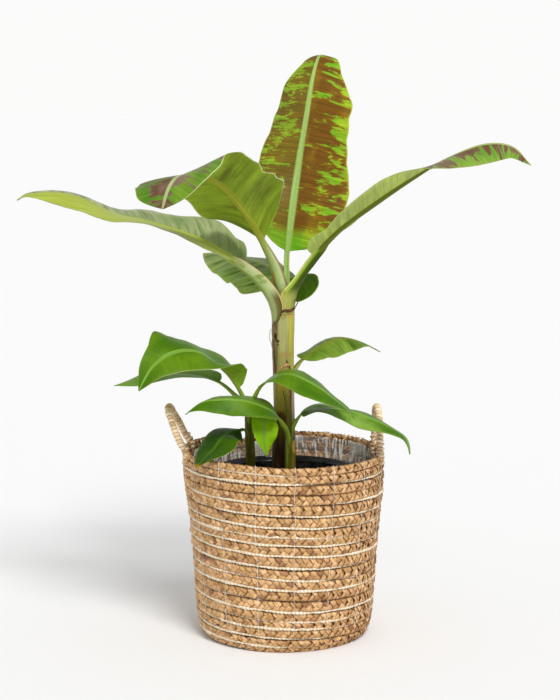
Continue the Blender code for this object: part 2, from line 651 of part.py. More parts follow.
def make_handle(name, side, lean, parts, material):
    """A rope loop on the rim, whose top leans out sideways by lean."""
    foot = BASKET_HEIGHT + GAP
    turns = HANDLE_TURNS
    points = [(side * HANDLE_FOOT_X, -HANDLE_SPREAD, foot)]
    for k in range(turns + 1):
        swing = abs(math.sin(math.pi * k / turns))
        rise = swing ** 0.72
        y = -HANDLE_SPREAD * math.cos(math.pi * k / turns) * (1 - 0.10 * swing)
        x = side * (HANDLE_FOOT_X + lean * rise ** 0.85)
        points.append((x, y, foot + HANDLE_STRAIGHT + HANDLE_RISE * rise))
    points.append((side * HANDLE_FOOT_X, HANDLE_SPREAD, foot))
    curve = bpy.data.curves.new(name, "CURVE")
    curve.dimensions = "3D"
    curve.bevel_depth = ROPE_DIAMETER / 2
    curve.bevel_resolution = 2
    curve.use_fill_caps = True
    spline = curve.splines.new("POLY")
    spline.points.add(len(points) - 1)
    for spot, (x, y, z) in zip(spline.points, points):
        spot.co = (x, y, z, 1)
    curve.materials.append(material)
    obj = bpy.data.objects.new(name, curve)
    parts.objects.link(obj)
    return obj


def build():
    clear_scene()
    parts = bpy.data.collections.new("potted_banana_plant")
    cutters = bpy.data.collections.new("cutters")
    for collection in (parts, cutters):
        bpy.context.scene.collection.children.link(collection)
    materials = make_materials()
    make_basket_wall(parts, materials["straw"])
    make_basket_base(parts, materials["straw"])
    make_handle("handle_left", -1, LEFT_LEAN, parts, materials["rope"])
    make_handle("handle_right", 1, RIGHT_LEAN, parts, materials["rope"])
    make_liner(parts, materials["film"])
    make_pot(parts, materials["pot_plastic"])
    make_soil(parts, cutters, materials["potting_mix"])
    make_pseudostem(parts, materials)
    make_pup("pup_left_stem", LEFT_PUP, LEFT_PUP_LEAVES, [], parts, materials)
    make_pup("pup_right_stem", RIGHT_PUP, RIGHT_PUP_LEAVES, [make_spike(parts)], parts, materials)
    make_leaves(parts, materials)


build()
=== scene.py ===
# Looks of a banana plant with two pups, in its nursery pot and its lined basket of sewn plait.
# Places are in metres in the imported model's frame: +Z up, +X right, the camera looks along +Y.
import math
import random

import bmesh
import bpy
import numpy as np
from mathutils import Matrix, Vector, noise


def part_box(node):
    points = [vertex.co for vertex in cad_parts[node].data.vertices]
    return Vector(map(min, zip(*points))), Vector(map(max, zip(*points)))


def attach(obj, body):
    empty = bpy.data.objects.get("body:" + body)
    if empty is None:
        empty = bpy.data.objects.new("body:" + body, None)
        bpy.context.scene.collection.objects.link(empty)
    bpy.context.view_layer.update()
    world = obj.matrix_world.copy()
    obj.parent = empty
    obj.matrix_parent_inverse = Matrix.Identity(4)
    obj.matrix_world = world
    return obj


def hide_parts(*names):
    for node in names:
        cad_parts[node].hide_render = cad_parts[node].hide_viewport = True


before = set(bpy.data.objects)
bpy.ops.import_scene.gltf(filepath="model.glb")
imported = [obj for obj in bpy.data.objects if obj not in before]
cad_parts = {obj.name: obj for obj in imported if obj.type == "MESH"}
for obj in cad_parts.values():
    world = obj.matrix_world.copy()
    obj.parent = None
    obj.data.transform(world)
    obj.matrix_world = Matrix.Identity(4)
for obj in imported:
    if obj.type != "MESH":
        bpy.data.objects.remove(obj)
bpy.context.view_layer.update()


# Small tools for meshes

def clamped(x):
    return np.clip(x, 0, 1)


def ease(x):
    return x * x * (3 - 2 * x)


def wobble(x, seed, size=512):
    # A smooth random wave between -1 and 1, about one swing for each unit of x
    table = np.random.default_rng(seed).uniform(-1, 1, size)
    cell = np.floor(x)
    part = ease(x - cell)
    cell = cell.astype(int)
    return table[cell % size] * (1 - part) + table[(cell + 1) % size] * part


def unit(vectors):
    return vectors / np.linalg.norm(vectors, axis=-1, keepdims=True)


def triples(x, y, z):
    return np.stack([x, y, z], axis=-1)


def pairs(x, y):
    return np.stack([x, y], axis=-1)


def polar(radius, angle, z):
    return triples(radius * np.cos(angle), radius * np.sin(angle), z)


def column(table, x, k):
    # The k-th entry of the table's rows, read off at x
    return np.interp(x, [row[0] for row in table], [row[k] for row in table])


def layGrid(bm, across, along, place, slots=None):
    # A grid whose points place(u, v) sets, with two UV maps. slots(u) gives a column's material.
    laid = bmesh.new()
    bmesh.ops.create_grid(laid, x_segments=across, y_segments=along, size=1)
    mesh = bpy.data.meshes.new("laid")
    laid.to_mesh(mesh)
    laid.free()
    flat = np.zeros(len(mesh.vertices) * 3)
    mesh.vertices.foreach_get("co", flat)
    flat = flat.reshape(-1, 3)
    flat = (flat - flat.min(axis=0)) / np.maximum(np.ptp(flat, axis=0), 1e-9)
    points, metres, shares = place(flat[:, 0], flat[:, 1])
    mesh.vertices.foreach_set("co", points.astype(np.float32).ravel())
    corners = np.zeros(len(mesh.loops), dtype=np.int32)
    mesh.loops.foreach_get("vertex_index", corners)
    for label, values in (("metres", metres), ("shares", shares)):
        layer = mesh.uv_layers.new(name=label)
        layer.data.foreach_set("uv", values[corners].astype(np.float32).ravel())
    if slots:
        middles = flat[corners, 0].reshape(-1, 4).mean(axis=1)
        mesh.polygons.foreach_set("material_index", slots(middles).astype(np.int32))
    bm.from_mesh(mesh)
    bpy.data.meshes.remove(mesh)


def addObject(name, data):
    made = bpy.data.objects.new(name, data)
    bpy.context.scene.collection.objects.link(made)
    return made


def finishPiece(name, bm, nodes, slotName, *materials, close=True):
    # Welds seams, closes open ends, turns faces outwards, attaches the piece to the root body and hides the
    # parts it replaces
    bmesh.ops.remove_doubles(bm, verts=bm.verts, dist=1e-6)
    if close:
        bmesh.ops.holes_fill(bm, edges=[edge for edge in bm.edges if edge.is_boundary], sides=0)
    bmesh.ops.recalc_face_normals(bm, faces=bm.faces)
    mesh = bpy.data.meshes.new(name)
    bm.to_mesh(mesh)
    bm.free()
    mesh.shade_smooth()
    for material in materials:
        mesh.materials.append(material)
    piece = addObject(name, mesh)
    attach(piece, "root")
    if nodes:
        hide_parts(*nodes)
    return piece


class Route:
    # A curve given by close points, with an outward direction at each
    def __init__(self, points, outs):
        self.points = np.asarray(points, dtype=float)
        self.along = unit(np.gradient(self.points, axis=0))
        outs = np.broadcast_to(np.asarray(outs, dtype=float), self.points.shape)
        self.outs = unit(outs - (outs * self.along).sum(axis=1)[:, None] * self.along)
        self.travelled = travelled(self.points)
        self.length = self.travelled[-1]

    def at(self, distance):
        centre, along, out = (readOff(distance, self.travelled, table)
                              for table in (self.points, self.along, self.outs))
        along = unit(along)
        out = unit(out - (out * along).sum(axis=1)[:, None] * along)
        return centre, along, np.cross(out, along), out


def travelled(points):
    return np.concatenate([[0], np.cumsum(np.linalg.norm(np.diff(points, axis=0), axis=1))])


def readOff(wanted, places, points):
    return np.stack([np.interp(wanted, places, points[:, k]) for k in range(3)], axis=-1)


def smoothCurve(points, spacing):
    # Evenly spaced points on a smooth curve through the given ones
    p = np.array(points, dtype=float)
    ends = np.vstack([2 * p[0] - p[1], p, 2 * p[-1] - p[-2]])
    fine = []
    for a, b, c, d in zip(ends[:-3], ends[1:-2], ends[2:-1], ends[3:]):
        for t in np.linspace(0, 1, 24, endpoint=False):
            fine.append(curveBetween(a, b, c, d, t))
    fine = np.array(fine + [p[-1]])
    places = travelled(fine)
    return readOff(np.linspace(0, places[-1], max(3, round(places[-1] / spacing) + 1)), places, fine)


def curveBetween(a, b, c, d, t):
    # From b to c, smooth with a before them and d after
    low = 2 * b + (c - a) * t + (2 * a - 5 * b + 4 * c - d) * t ** 2
    return 0.5 * (low + (3 * b - a - 3 * c + d) * t ** 3)


def layTube(bm, route, around, stations, radius, startUv=0.0):
    # A tube along a route. radius(angle, distance) may vary.
    def place(u, v):
        distance = v * route.length
        centre, along, across, out = route.at(distance)
        angle = math.tau * u - math.pi / 2
        size = radius(angle, distance) if callable(radius) else np.full(len(u), float(radius))
        ring = (across * np.cos(angle)[:, None] + out * np.sin(angle)[:, None]) * size[:, None]
        return centre + ring, pairs(u, distance + startUv), pairs(v, u)
    layGrid(bm, around, stations, place)


# Small tools for materials

class Value:
    # An output in a material's nodes. Arithmetic on it adds Math nodes.
    def __init__(self, material, socket):
        self.material = material
        self.socket = socket

    def __add__(self, other):
        return calc("ADD", self, other)

    def __radd__(self, other):
        return calc("ADD", other, self)

    def __sub__(self, other):
        return calc("SUBTRACT", self, other)

    def __rsub__(self, other):
        return calc("SUBTRACT", other, self)

    def __mul__(self, other):
        return calc("MULTIPLY", self, other)

    def __truediv__(self, other):
        return calc("DIVIDE", self, other)

    def __abs__(self):
        return calc("ABSOLUTE", self)


def hostOf(*values):
    return next(value.material for value in values if isinstance(value, Value))


def feed(socket, value):
    if isinstance(value, Value):
        value.material.node_tree.links.new(value.socket, socket)
    elif isinstance(value, (tuple, list)) and len(value) == 3 and socket.type == "RGBA":
        socket.default_value = (*value, 1.0)
    else:
        socket.default_value = value


def addNode(material, kind, inputs, output=0, **settings):
    made = material.node_tree.nodes.new("ShaderNode" + kind)
    for key, value in settings.items():
        setattr(made, key, value)
    for key, value in inputs.items():
        feed(made.inputs[key], value)
    return Value(material, made.outputs[output])


def newMaterial(name, colour, roughness, gloss=0.5):
    material = bpy.data.materials.new(name)
    material.use_nodes = True
    for key, value in (("Base Color", colour), ("Roughness", roughness), ("Specular IOR Level", gloss)):
        feed(material.node_tree.nodes["Principled BSDF"].inputs[key], value)
    return material


def paint(key, value):
    feed(value.material.node_tree.nodes["Principled BSDF"].inputs[key], value)


def split(vector):
    first = addNode(vector.material, "SeparateXYZ", {0: vector})
    return [Value(vector.material, socket) for socket in first.socket.node.outputs]


def uvParts(material, label):
    return split(addNode(material, "UVMap", {}, uv_map=label))[:2]


def objectParts(material):
    where = addNode(material, "TexCoord", {}, "Object")
    return where, *split(where)


def calc(operation, *values, clamp=False):
    return addNode(hostOf(*values), "Math", dict(enumerate(values)), operation=operation, use_clamp=clamp)


def rise(value, low, high, kind="SMOOTHSTEP"):
    # 0 below low and 1 above high, smooth between. With low above high it falls instead.
    return addNode(value.material, "MapRange", {"Value": value, "From Min": low, "From Max": high},
                   interpolation_type=kind)


def spot(x, y, z=0.0):
    return addNode(x.material, "CombineXYZ", {0: x, 1: y, 2: z})


def grain(vector, scale, detail=3.0, roughness=0.5, distortion=0.0):
    return addNode(vector.material, "TexNoise", {"Vector": vector, "Scale": scale, "Detail": detail,
                                                 "Roughness": roughness, "Distortion": distortion})


def randomTone(number):
    return addNode(number.material, "TexWhiteNoise", {"W": number}, noise_dimensions="1D")


def blend(share, a, b, mode="MIX"):
    return addNode(hostOf(share, a, b), "Mix", {0: share, 6: a, 7: b}, 2, data_type="RGBA", blend_type=mode)


def ramp(value, *stops):
    made = addNode(value.material, "ValToRGB", {0: value})
    knots = made.socket.node.color_ramp.elements
    while len(knots) < len(stops):
        knots.new(0.5)
    for knot, (place, colour) in zip(knots, stops):
        knot.position = place
        knot.color = (*colour, 1.0)
    return made


def shaded(colour, value, *stops, share=1.0):
    return blend(share, colour, ramp(value, *stops), "MULTIPLY")


def marked(colour, marks, rough):
    # Oval marks with ragged edges, seen from the front. A mark is its middle (x, z), half width and half
    # height in millimetres, tone and strength.
    where, x, y, z = objectParts(colour.material)
    for middleX, middleZ, halfWidth, halfHeight, tone, strength in marks:
        across = (x - middleX / 1000) * (1000 / halfWidth)
        high = (z - middleZ / 1000) * (1000 / halfHeight)
        away = across * across + high * high + (rough - 0.5) * 3.6
        colour = blend(rise(away, 1.5, 0.5) * strength, colour, tone)
    return colour


def bump(height, distance, strength=1.0):
    paint("Normal", addNode(height.material, "Bump",
                            {"Strength": strength, "Distance": distance, "Height": height}))


# Camera, fitted to the ellipses of the rim and foot, with a long lens as for a product photograph

view = {"place": (-0.008, -3.3, 0.975), "tilt": 81.6, "focalPixels": 1969.0, "frameHeight": 700,
        "sensor": 36.0}


def placeCamera():
    data = bpy.data.cameras.new("view")
    data.sensor_width = view["sensor"]
    data.lens = view["focalPixels"] * view["sensor"] / view["frameHeight"]
    camera = addObject("view", data)
    camera.location = view["place"]
    camera.rotation_euler = (math.radians(view["tilt"]), 0, 0)
    bpy.context.scene.camera = camera


# Basket: one plait of three flat strands, wound on a helix and sewn row to row. The row heights are
# in millimetres, at the middle of the front; each row leans a little down to the right.

basket = {
    "height": 0.317,
    "rowHeights": (5, 17, 34, 49, 64, 83, 101, 119, 137, 158, 177, 193, 208, 226, 246, 265, 281, 297, 310),
    "radii": ((0.0, 0.1400), (0.018, 0.1475), (0.050, 0.1520), (0.140, 0.1570),
              (0.195, 0.1620), (0.245, 0.1675), (0.285, 0.1695), (0.317, 0.1690)),
    "startAngle": 125.0, "firstTurnInset": 0.012, "levelRows": 5, "levelPart": 0.14, "leftBulge": 0.004,
    "rimLift": ((-1.0, 3.5), (-0.76, 4.5), (-0.45, 4.0), (0.0, 0.8), (0.5, 0.6), (1.0, 0.0)),
    "backLift": 0.0015, "rowLean": 0.0045, "undulation": 0.0013, "unevenness": 0.0006, "tableSteps": 240,
    "narrowest": 0.011, "widest": 0.0215}

plait = {
    "period": 0.035, "stations": 12, "sides": 8, "depthSwing": 0.0021, "sharpness": 0.985, "dwell": 1.5,
    "strandWidth": 0.0100, "strandThickness": 0.0024, "meanWidth": 0.0167, "edgeGap": 0.0011, "crown": 0.0011,
    "widthFlatness": 0.45, "depthFlatness": 0.6, "taper": 0.03}

rowHeights = np.array(basket["rowHeights"]) / 1000
rowCount = len(rowHeights)


def wallRadius(z):
    return column(basket["radii"], z, 1)


def bulgedRadius(z, angle):
    # The wall stands out a little at the upper left
    return wallRadius(z) + basket["leftBulge"] * clamped(-np.cos(angle)) ** 2 * clamped((z - 0.22) / 0.07)


def rimRise(z, angle):
    # The rim isn't level: its front left stands highest. In millimetres, from left to right.
    front = column(basket["rimLift"], np.cos(angle), 1) / 1000
    back = basket["backLift"]
    lift = np.where(np.sin(angle) < 0.3, front, back + (front - back) * clamped(1.6 - 2 * np.sin(angle)))
    return lift * clamped((z - 0.285) / 0.02)


def plaitDepth():
    return plait["depthSwing"] + plait["strandThickness"] / 2


def angleAt(turn):
    return math.radians(basket["startAngle"]) - math.tau * turn


def rowPlace(turn):
    # Which row's height holds after so many turns. The last rows are level but for a step at the back.
    whole = np.floor(turn)
    part = turn - whole
    level = clamped((turn - rowCount + 1 + basket["levelRows"]) / basket["levelRows"])
    step = ease(clamped(part / basket["levelPart"]))
    front = (basket["startAngle"] + 90) / 360
    return whole - front + (1 - level) * part + level * (front - 1 + step)


def rowHeight(turn):
    z = np.interp(rowPlace(turn), np.arange(rowCount), rowHeights)
    angle = angleAt(turn)
    lean = basket["rowLean"] * np.cos(angle) * clamped((basket["height"] - z) / 0.04) * clamped(z / 0.03)
    z = z - lean + basket["undulation"] * wobble(turn * 7, 11) * clamped((0.305 - z) / 0.02)
    return z + rimRise(z, angle)


def rowWidth(turn):
    widths = np.gradient(rowHeights)
    widths[-1] = 2 * (basket["height"] - rowHeights[-1])
    return np.clip(np.interp(rowPlace(turn), np.arange(rowCount), widths), basket["narrowest"],
                   basket["widest"])


def rimHeight(angle):
    # The top edge of the last row: the helix ends in a step at the back
    lastTurn = rowCount - 1 + (math.radians(basket["startAngle"]) - angle) / math.tau % 1.0
    return rowHeight(lastTurn) + rowWidth(lastTurn) / 2


def grooveHeight(turn):
    return (rowHeight(turn) - rowWidth(turn) / 2 + rowHeight(turn - 1) + rowWidth(turn - 1) / 2) / 2


def roundRoute(radius, angle, z):
    return Route(polar(radius, angle, z), polar(1, angle, 0 * z))


def windWall():
    # The wall's helix and its turns. Its first turn starts under the second.
    turn = np.linspace(0, rowCount, rowCount * basket["tableSteps"] + 1)
    angle = angleAt(turn)
    z = np.maximum(rowHeight(turn), rowWidth(turn) / 2)
    inset = basket["firstTurnInset"] * clamped(1 - turn / 0.6)
    uneven = basket["unevenness"]
    radius = bulgedRadius(z, angle) - plaitDepth() - inset - uneven + uneven * wobble(turn * 9, 12)
    tip = -(wallRadius(z + 0.004) - wallRadius(z - 0.004)) / 0.008  # The wall faces down where it widens
    return Route(polar(radius, angle, z), polar(1, angle, tip)), turn


def swingAcross(phase):
    # From edge to edge in nearly straight runs
    return np.arcsin(plait["sharpness"] * np.sin(phase)) / math.asin(plait["sharpness"])


def swingDeep(phase):
    return np.tanh(plait["dwell"] * np.sin(2 * phase)) / math.tanh(plait["dwell"])


def flattened(wave, power):
    return np.sign(wave) * np.abs(wave) ** power


def layStrand(bm, route, index, seed, widthAt):
    # One of the plait's three flat strands: it runs out on the front, folds round the edge and comes
    # back behind, then crosses to the front of the other half
    def spotAt(distance):
        phase = math.tau / plait["period"] * (distance + 0.004 * wobble(distance / 0.09, seed + 5))
        phase = phase + math.tau * index / 3
        centre, along, across, out = route.at(distance)
        wide = widthAt(distance)
        side = (wide / 2 - plait["edgeGap"]) * swingAcross(phase) + 0.0005 * wobble(distance / 0.03, seed)
        deep = swingDeep(phase)
        crown = plait["crown"] * (1 - swingAcross(phase) ** 2)
        lift = plait["depthSwing"] * deep + crown + 0.0004 * wobble(distance / 0.02, seed + 1)
        return centre + across * side[:, None] + out * lift[:, None], phase, across, out, wide, deep

    def place(u, v):
        distance = v * route.length
        middle, phase, across, out, wide, deep = spotAt(distance)
        step = plait["period"] / 40
        heading = unit(spotAt(distance + step)[0] - spotAt(distance - step)[0])
        fold = math.pi * ease((1 - np.cos(phase)) / 2) + 0.26 * wobble(distance / 0.012, seed + 2)
        thin = out * np.cos(fold)[:, None] + across * np.sin(fold)[:, None]
        broad = unit(np.cross(thin, heading))
        thin = np.cross(heading, broad)
        angle = math.tau * u
        wander = 0.16 * wobble(distance / 0.014, seed + 3)
        width = plait["strandWidth"] / 2 * (wide / plait["meanWidth"]) * (1 + wander)
        depth = plait["strandThickness"] / 2 * (1 + 0.30 * wobble(distance / 0.009, seed + 4))
        taper = np.clip(np.minimum(v, 1 - v) * route.length / plait["taper"], 0.25, 1)
        x = flattened(np.cos(angle), plait["widthFlatness"]) * width * taper
        y = flattened(np.sin(angle), plait["depthFlatness"]) * depth * taper
        points = middle + broad * x[:, None] + thin * y[:, None]
        points[:, 2] = np.clip(points[:, 2], 0.0, 1.0)
        swing = swingAcross(phase) * (1 - 0.0022 / wide)
        sideways = ((points - middle) * across).sum(axis=1) / (wide / 2) + swing
        return points, pairs(u, phase / math.pi + 300 * index), pairs(np.abs(sideways), 0.5 + deep / 2)
    layGrid(bm, plait["sides"], round(route.length / plait["period"] * plait["stations"]), place)


# "crease" is the colour of painted shade; "shade" is painted shade multiplied on the inner wall
straw = {"pale": (0.68, 0.420, 0.210), "mid": (0.48, 0.268, 0.112), "golden": (0.53, 0.318, 0.126),
         "brown": (0.36, 0.18, 0.072), "purple": (0.28, 0.135, 0.065), "crease": (0.085, 0.036, 0.013),
         "shade": (1.0, 0.92, 0.78),
         "stops": ((0.0, "purple"), (0.03, "brown"), (0.16, "mid"), (0.36, "golden"), (0.56, "pale"),
                   (0.76, "mid"), (0.96, "pale"))}


def strawMaterial(name):
    # Each facet of a strand has its own tone; painted shade darkens it into the grooves, the crossings and
    # its edges (these partly their own dry colour)
    material = newMaterial(name, straw["mid"], 0.55, 0.3)
    around, number = uvParts(material, "metres")
    side, deep = uvParts(material, "shares")
    tone = randomTone(calc("FLOOR", number + 0.25))
    drift = (grain(spot(number, 5.0), 0.09, 2.0) - 0.5) * 0.9
    stops = [(place, straw[key]) for place, key in straw["stops"]]
    colour = ramp(calc("ADD", tone, drift, clamp=True), *stops)
    # Fibre streaks along the strand; their brightest part is also painted highlight on the facets
    streak = grain(spot(around * 7.0, number * 0.9), 1.6, 4.0, 0.65)
    colour = shaded(colour, streak, (0.30, (0.44, 0.34, 0.25)), (0.43, (0.90, 0.87, 0.82)),
                    (0.60, (1.38, 1.38, 1.38)))
    # Painted shade in the grooves between rows, where a strand dives under at a crossing, and at the strand's
    # edges, which are partly its own dry edges too
    rim = abs(calc("COSINE", around * math.tau))
    groove = rise(side, 0.80, 1.10) * 0.85
    under = rise(abs(deep - 0.5), 0.28, 0.04) * 0.35
    paintedShade = calc("MAXIMUM", calc("MAXIMUM", groove, under), rise(rim, 0.86, 1.0) * 0.8)
    colour = blend(paintedShade, colour, straw["crease"])
    where, x, y, z = objectParts(material)
    # Painted shade on the inside of the wall, below the rim
    inside = rise(calc("SQRT", x * x + y * y), 0.1655, 0.1640) * rise(z, 0.312, 0.304) * rise(z, 0.235, 0.250)
    paint("Base Color", blend(inside, colour, straw["shade"], "MULTIPLY"))
    bump(streak, 0.0014)
    return material


def makeWall():
    route, turn = windWall()
    material = strawMaterial("plaitedStraw")

    def widthAt(distance):
        here = np.interp(distance, route.travelled, turn)
        return rowWidth(here) * (1 - 0.09 * np.maximum(cordShown(here), cordShown(here - 1)))
    for index, label in enumerate(("first", "second", "third")):
        bm = bmesh.new()
        layStrand(bm, route, index, 20 + 10 * index, widthAt)
        finishPiece("basket_plait_" + label, bm, ["basket_wall"], "straw", material)


# Clear thread that runs down through all the rows, in the holes of the plait's edges

stitches = {"count": 16, "firstAngle": 230.6, "radius": 0.00042, "top": 0.3185, "foot": 0.030, "dip": 0.0022,
            "sides": 5, "stations": 180, "knots": 260}


def makeStitches():
    bm = bmesh.new()
    for k in range(stitches["count"]):
        middle = math.radians(stitches["firstAngle"] + 360 / stitches["count"] * k)
        rim = rimHeight(np.array([middle]))[0] - rimRise(basket["height"], middle)
        z = np.linspace(min(stitches["top"], rim + 0.0015), stitches["foot"], stitches["knots"])
        angle = middle + 0.012 * wobble(z * 30, 200 + k)
        z = z + rimRise(z, angle)
        nearest = np.abs(z[:, None] - rowHeights[None, :] - rimRise(z, angle)[:, None]).min(axis=1)
        radius = bulgedRadius(z, angle) + 0.0003 - stitches["dip"] * clamped((nearest - 0.0045) / 0.004)
        layTube(bm, roundRoute(radius, angle, z), stitches["sides"], stitches["stations"], stitches["radius"])
    material = newMaterial("clearThread", (0.86, 0.83, 0.78), 0.3)
    where = objectParts(material)[0]
    paint("Base Color", ramp(grain(where, 70.0), (0.35, (0.62, 0.56, 0.48)), (0.6, (0.90, 0.88, 0.84))))
    finishPiece("basket_stitches", bm, ["basket_wall"], None, material)


# The pale two-ply cord in each groove. "shown" tells how far it stands out, from 0 to 9, groove by
# groove from the floor up, at five places from the left edge of the front to the right edge.

cordCut = {"radius": 0.0027, "lobe": 0.24, "twist": 0.0126, "stations": 7, "sides": 7, "start": 1.30,
           "proud": 0.0034, "sunk": 0.0052, "thinnest": 0.4,
           "shown": ("99831", "87753", "78994", "54686", "89898", "64334", "89999", "85763", "99974",
                     "99989", "79986", "98876", "79985", "69996", "88819", "10124", "99805", "26603"),
           "places": (-0.9, -0.45, 0.0, 0.4, 0.85)}


def cordShown(turn):
    table = np.array([[int(mark) / 9 for mark in row] for row in cordCut["shown"]])
    angle = angleAt(turn)
    groove = np.rint(turn - (basket["startAngle"] + 90) / 360 - 0.02).astype(int) - 1
    groove = np.clip(groove, 0, len(table) - 1)
    behind = np.sin(angle) > 0  # The back shows other grooves' marks, as it isn't in the photo
    groove = np.where(behind, (groove * 7 + 3) % len(table), groove)
    across = np.where(behind, -np.cos(angle), np.cos(angle))
    shown = np.zeros(len(turn))
    for k, row in enumerate(table):
        shown = np.where(groove == k, np.interp(across, cordCut["places"], row), shown)
    return shown


def makeCord():
    turn = np.linspace(cordCut["start"], rowCount, rowCount * basket["tableSteps"])
    angle = angleAt(turn)
    z = grooveHeight(turn) + 0.0009 + 0.0009 * wobble(turn * 22, 94)
    lift = cordCut["proud"] - cordCut["sunk"] * (1 - cordShown(turn)) + 0.0008 * wobble(turn * 60, 91)
    route = roundRoute(bulgedRadius(z, angle) - plaitDepth() + lift - 0.0010, angle, z)

    def size(around, distance):
        spin = math.tau * distance / cordCut["twist"]
        plies = 1 - cordCut["lobe"] + cordCut["lobe"] * np.cos(2 * (around - spin))
        thick = 1.06 + 0.36 * wobble(distance / 0.028, 93) + 0.9 * clamped(wobble(distance / 0.09, 95) - 0.45)
        thick = thick + 0.28 * wobble(distance / 0.0026 + 2 * np.cos(around), 96)
        shown = cordShown(np.interp(distance, route.travelled, turn))
        return cordCut["radius"] * plies * thick * (cordCut["thinnest"] + (1 - cordCut["thinnest"]) * shown)

    material = newMaterial("sewingCord", (0.80, 0.68, 0.46), 0.75, 0.25)
    around, along = uvParts(material, "metres")
    tone = grain(spot(along, 0.0), 55.0, 4.0, 0.7)
    colour = ramp(tone, (0.30, (0.56, 0.41, 0.24)), (0.43, (0.82, 0.70, 0.50)), (0.60, (0.97, 0.90, 0.75)))
    spin = around - along / cordCut["twist"]
    # Painted shade in the valleys between the two plies
    plyValleyShade = calc("COSINE", spin * (2 * math.tau))
    paint("Base Color", blend(rise(plyValleyShade, 0.0, -1.0) * 0.6, colour, (0.50, 0.34, 0.18)))
    bump(grain(spot(spin * 9.0, along * 120.0), 2.0), 0.0008, 0.8)
    bm = bmesh.new()
    layTube(bm, route, cordCut["sides"], round(route.length / cordCut["twist"] * cordCut["stations"]), size)
    finishPiece("basket_cord", bm, ["basket_wall"], None, material)


filler = {"radius": 0.0021, "deep": 0.0056, "sides": 6, "spacing": 0.006, "start": 1.02}


def makeFiller():
    # A dark tube deep in the grooves, coloured as straw in shade (painted shade), so that no light comes
    # through between the rows
    turn = np.linspace(filler["start"], rowCount, rowCount * basket["tableSteps"])
    angle = angleAt(turn)
    z = grooveHeight(turn)
    route = roundRoute(bulgedRadius(z, angle) - filler["deep"], angle, z)
    bm = bmesh.new()
    layTube(bm, route, filler["sides"], round(route.length / filler["spacing"]), filler["radius"])
    material = newMaterial("shadedStraw", (0.15, 0.085, 0.040), 0.8, 0.1)
    where = objectParts(material)[0]
    paint("Base Color", ramp(grain(where, 150.0), (0.35, (0.09, 0.045, 0.02)), (0.65, (0.26, 0.155, 0.08))))
    finishPiece("basket_groove_shade", bm, ["basket_wall"], "straw", material)


baseWinding = {"pitch": 0.0165, "start": 0.35, "margin": 0.020, "steps": 1200, "lift": 0.0026}


def makeBase():
    # The same plait wound flat under the pot
    pitch = baseWinding["pitch"]
    turn = np.linspace(baseWinding["start"], (wallRadius(0) - baseWinding["margin"]) / pitch,
                       baseWinding["steps"])
    height = np.full(len(turn), plaitDepth() + baseWinding["lift"])
    route = Route(polar(turn * pitch, -math.tau * turn, height), (0, 0, -1.0))
    material = strawMaterial("baseStraw")
    bm = bmesh.new()
    for index in range(3):
        layStrand(bm, route, index, 60 + 10 * index, lambda distance: np.full(len(distance), pitch))
    finishPiece("basket_base_plait", bm, ["basket_base"], "straw", material)


# Rope handles: a core wound tightly with strips of leaf, a loop on each side

handle = {"rope": 0.0132, "spread": 0.050, "rise": 0.070, "straight": 0.003, "turns": 60, "wrap": 0.0062,
          "sides": 20, "sunk": 0.016, "wrapStations": 12, "thinned": 0.0024, "ridge": 0.0019, "swell": 0.0005,
          "left": {"footX": 0.1640, "lean": 0.034, "twist": 0.001},
          "right": {"footX": 0.1575, "lean": 0.0, "twist": 0.0026}}


def handleRoute(side, cut):
    foot = basket["height"]
    ends = [(side * (cut["footX"] + end * cut["twist"]), -end * handle["spread"], foot - handle["sunk"])
            for end in (1, -1)]
    points = ends[:1]
    for k in range(handle["turns"] + 1):
        swing = abs(math.sin(math.pi * k / handle["turns"]))
        ahead = math.cos(math.pi * k / handle["turns"])
        lifted = swing ** 0.72
        points.append((side * (cut["footX"] + cut["twist"] * ahead + cut["lean"] * lifted ** 0.85),
                       -handle["spread"] * ahead * (1 - 0.10 * swing),
                       foot + handle["straight"] + handle["rise"] * lifted))
    points = smoothCurve(points + ends[1:], 0.002)
    points[:, 2] = np.minimum(points[:, 2], foot + handle["straight"] + handle["rise"] - 0.0008)
    return Route(points, (side, 0, 0.0001))


def makeHandle(name, side, material):
    route = handleRoute(side, handle[name])

    def radius(angle, distance):
        wrap = distance / handle["wrap"] + angle / math.tau
        within = wrap - np.floor(wrap)
        swell = 0.0006 * wobble(distance / handle["wrap"], 33)
        swell = swell + 0.0005 * wobble(2 * np.cos(angle) + distance * 90, 31 + side)
        ridge = handle["ridge"] * (4 * within * (1 - within)) ** 0.5
        return handle["rope"] / 2 - handle["thinned"] + ridge + np.minimum(swell, handle["swell"])
    bm = bmesh.new()
    layTube(bm, route, handle["sides"], round(route.length / handle["wrap"] * handle["wrapStations"]), radius)
    finishPiece("handle_" + name + "_rope", bm, ["handle_" + name], "rope", material)


def ropeMaterial():
    material = newMaterial("woundRope", (0.55, 0.42, 0.28), 0.65, 0.3)
    around, along = uvParts(material, "metres")
    wrap = along / handle["wrap"] + around
    strip = grain(spot(around * 5.0, wrap * 4.0), 1.5, 4.0)
    colour = ramp(randomTone(calc("FLOOR", wrap)), (0.0, (0.56, 0.36, 0.17)), (0.3, (0.76, 0.53, 0.29)),
                  (0.6, (0.90, 0.67, 0.41)), (1.0, (0.97, 0.81, 0.58)))
    colour = shaded(colour, strip, (0.30, (0.55, 0.46, 0.38)), (0.46, (1.0, 1.0, 1.0)),
                    (0.65, (1.15, 1.15, 1.15)))
    # Painted shade in the creases between neighbouring wraps
    edge = rise(abs(calc("FRACT", wrap) - 0.5), 0.30, 0.5)
    paint("Base Color", blend(edge * 0.8, colour, (0.17, 0.095, 0.045)))
    bump(strip, 0.0010, 0.9)
    return material


# Lashings round the feet of the handles, and loose ends of straw at the rim

lashing = {"turns": 4, "radius": 0.0020, "reach": 0.0067, "bottom": 0.302, "top": 0.334, "lean": 0.0015,
           "steps": 40, "sides": 7, "stations": 30}


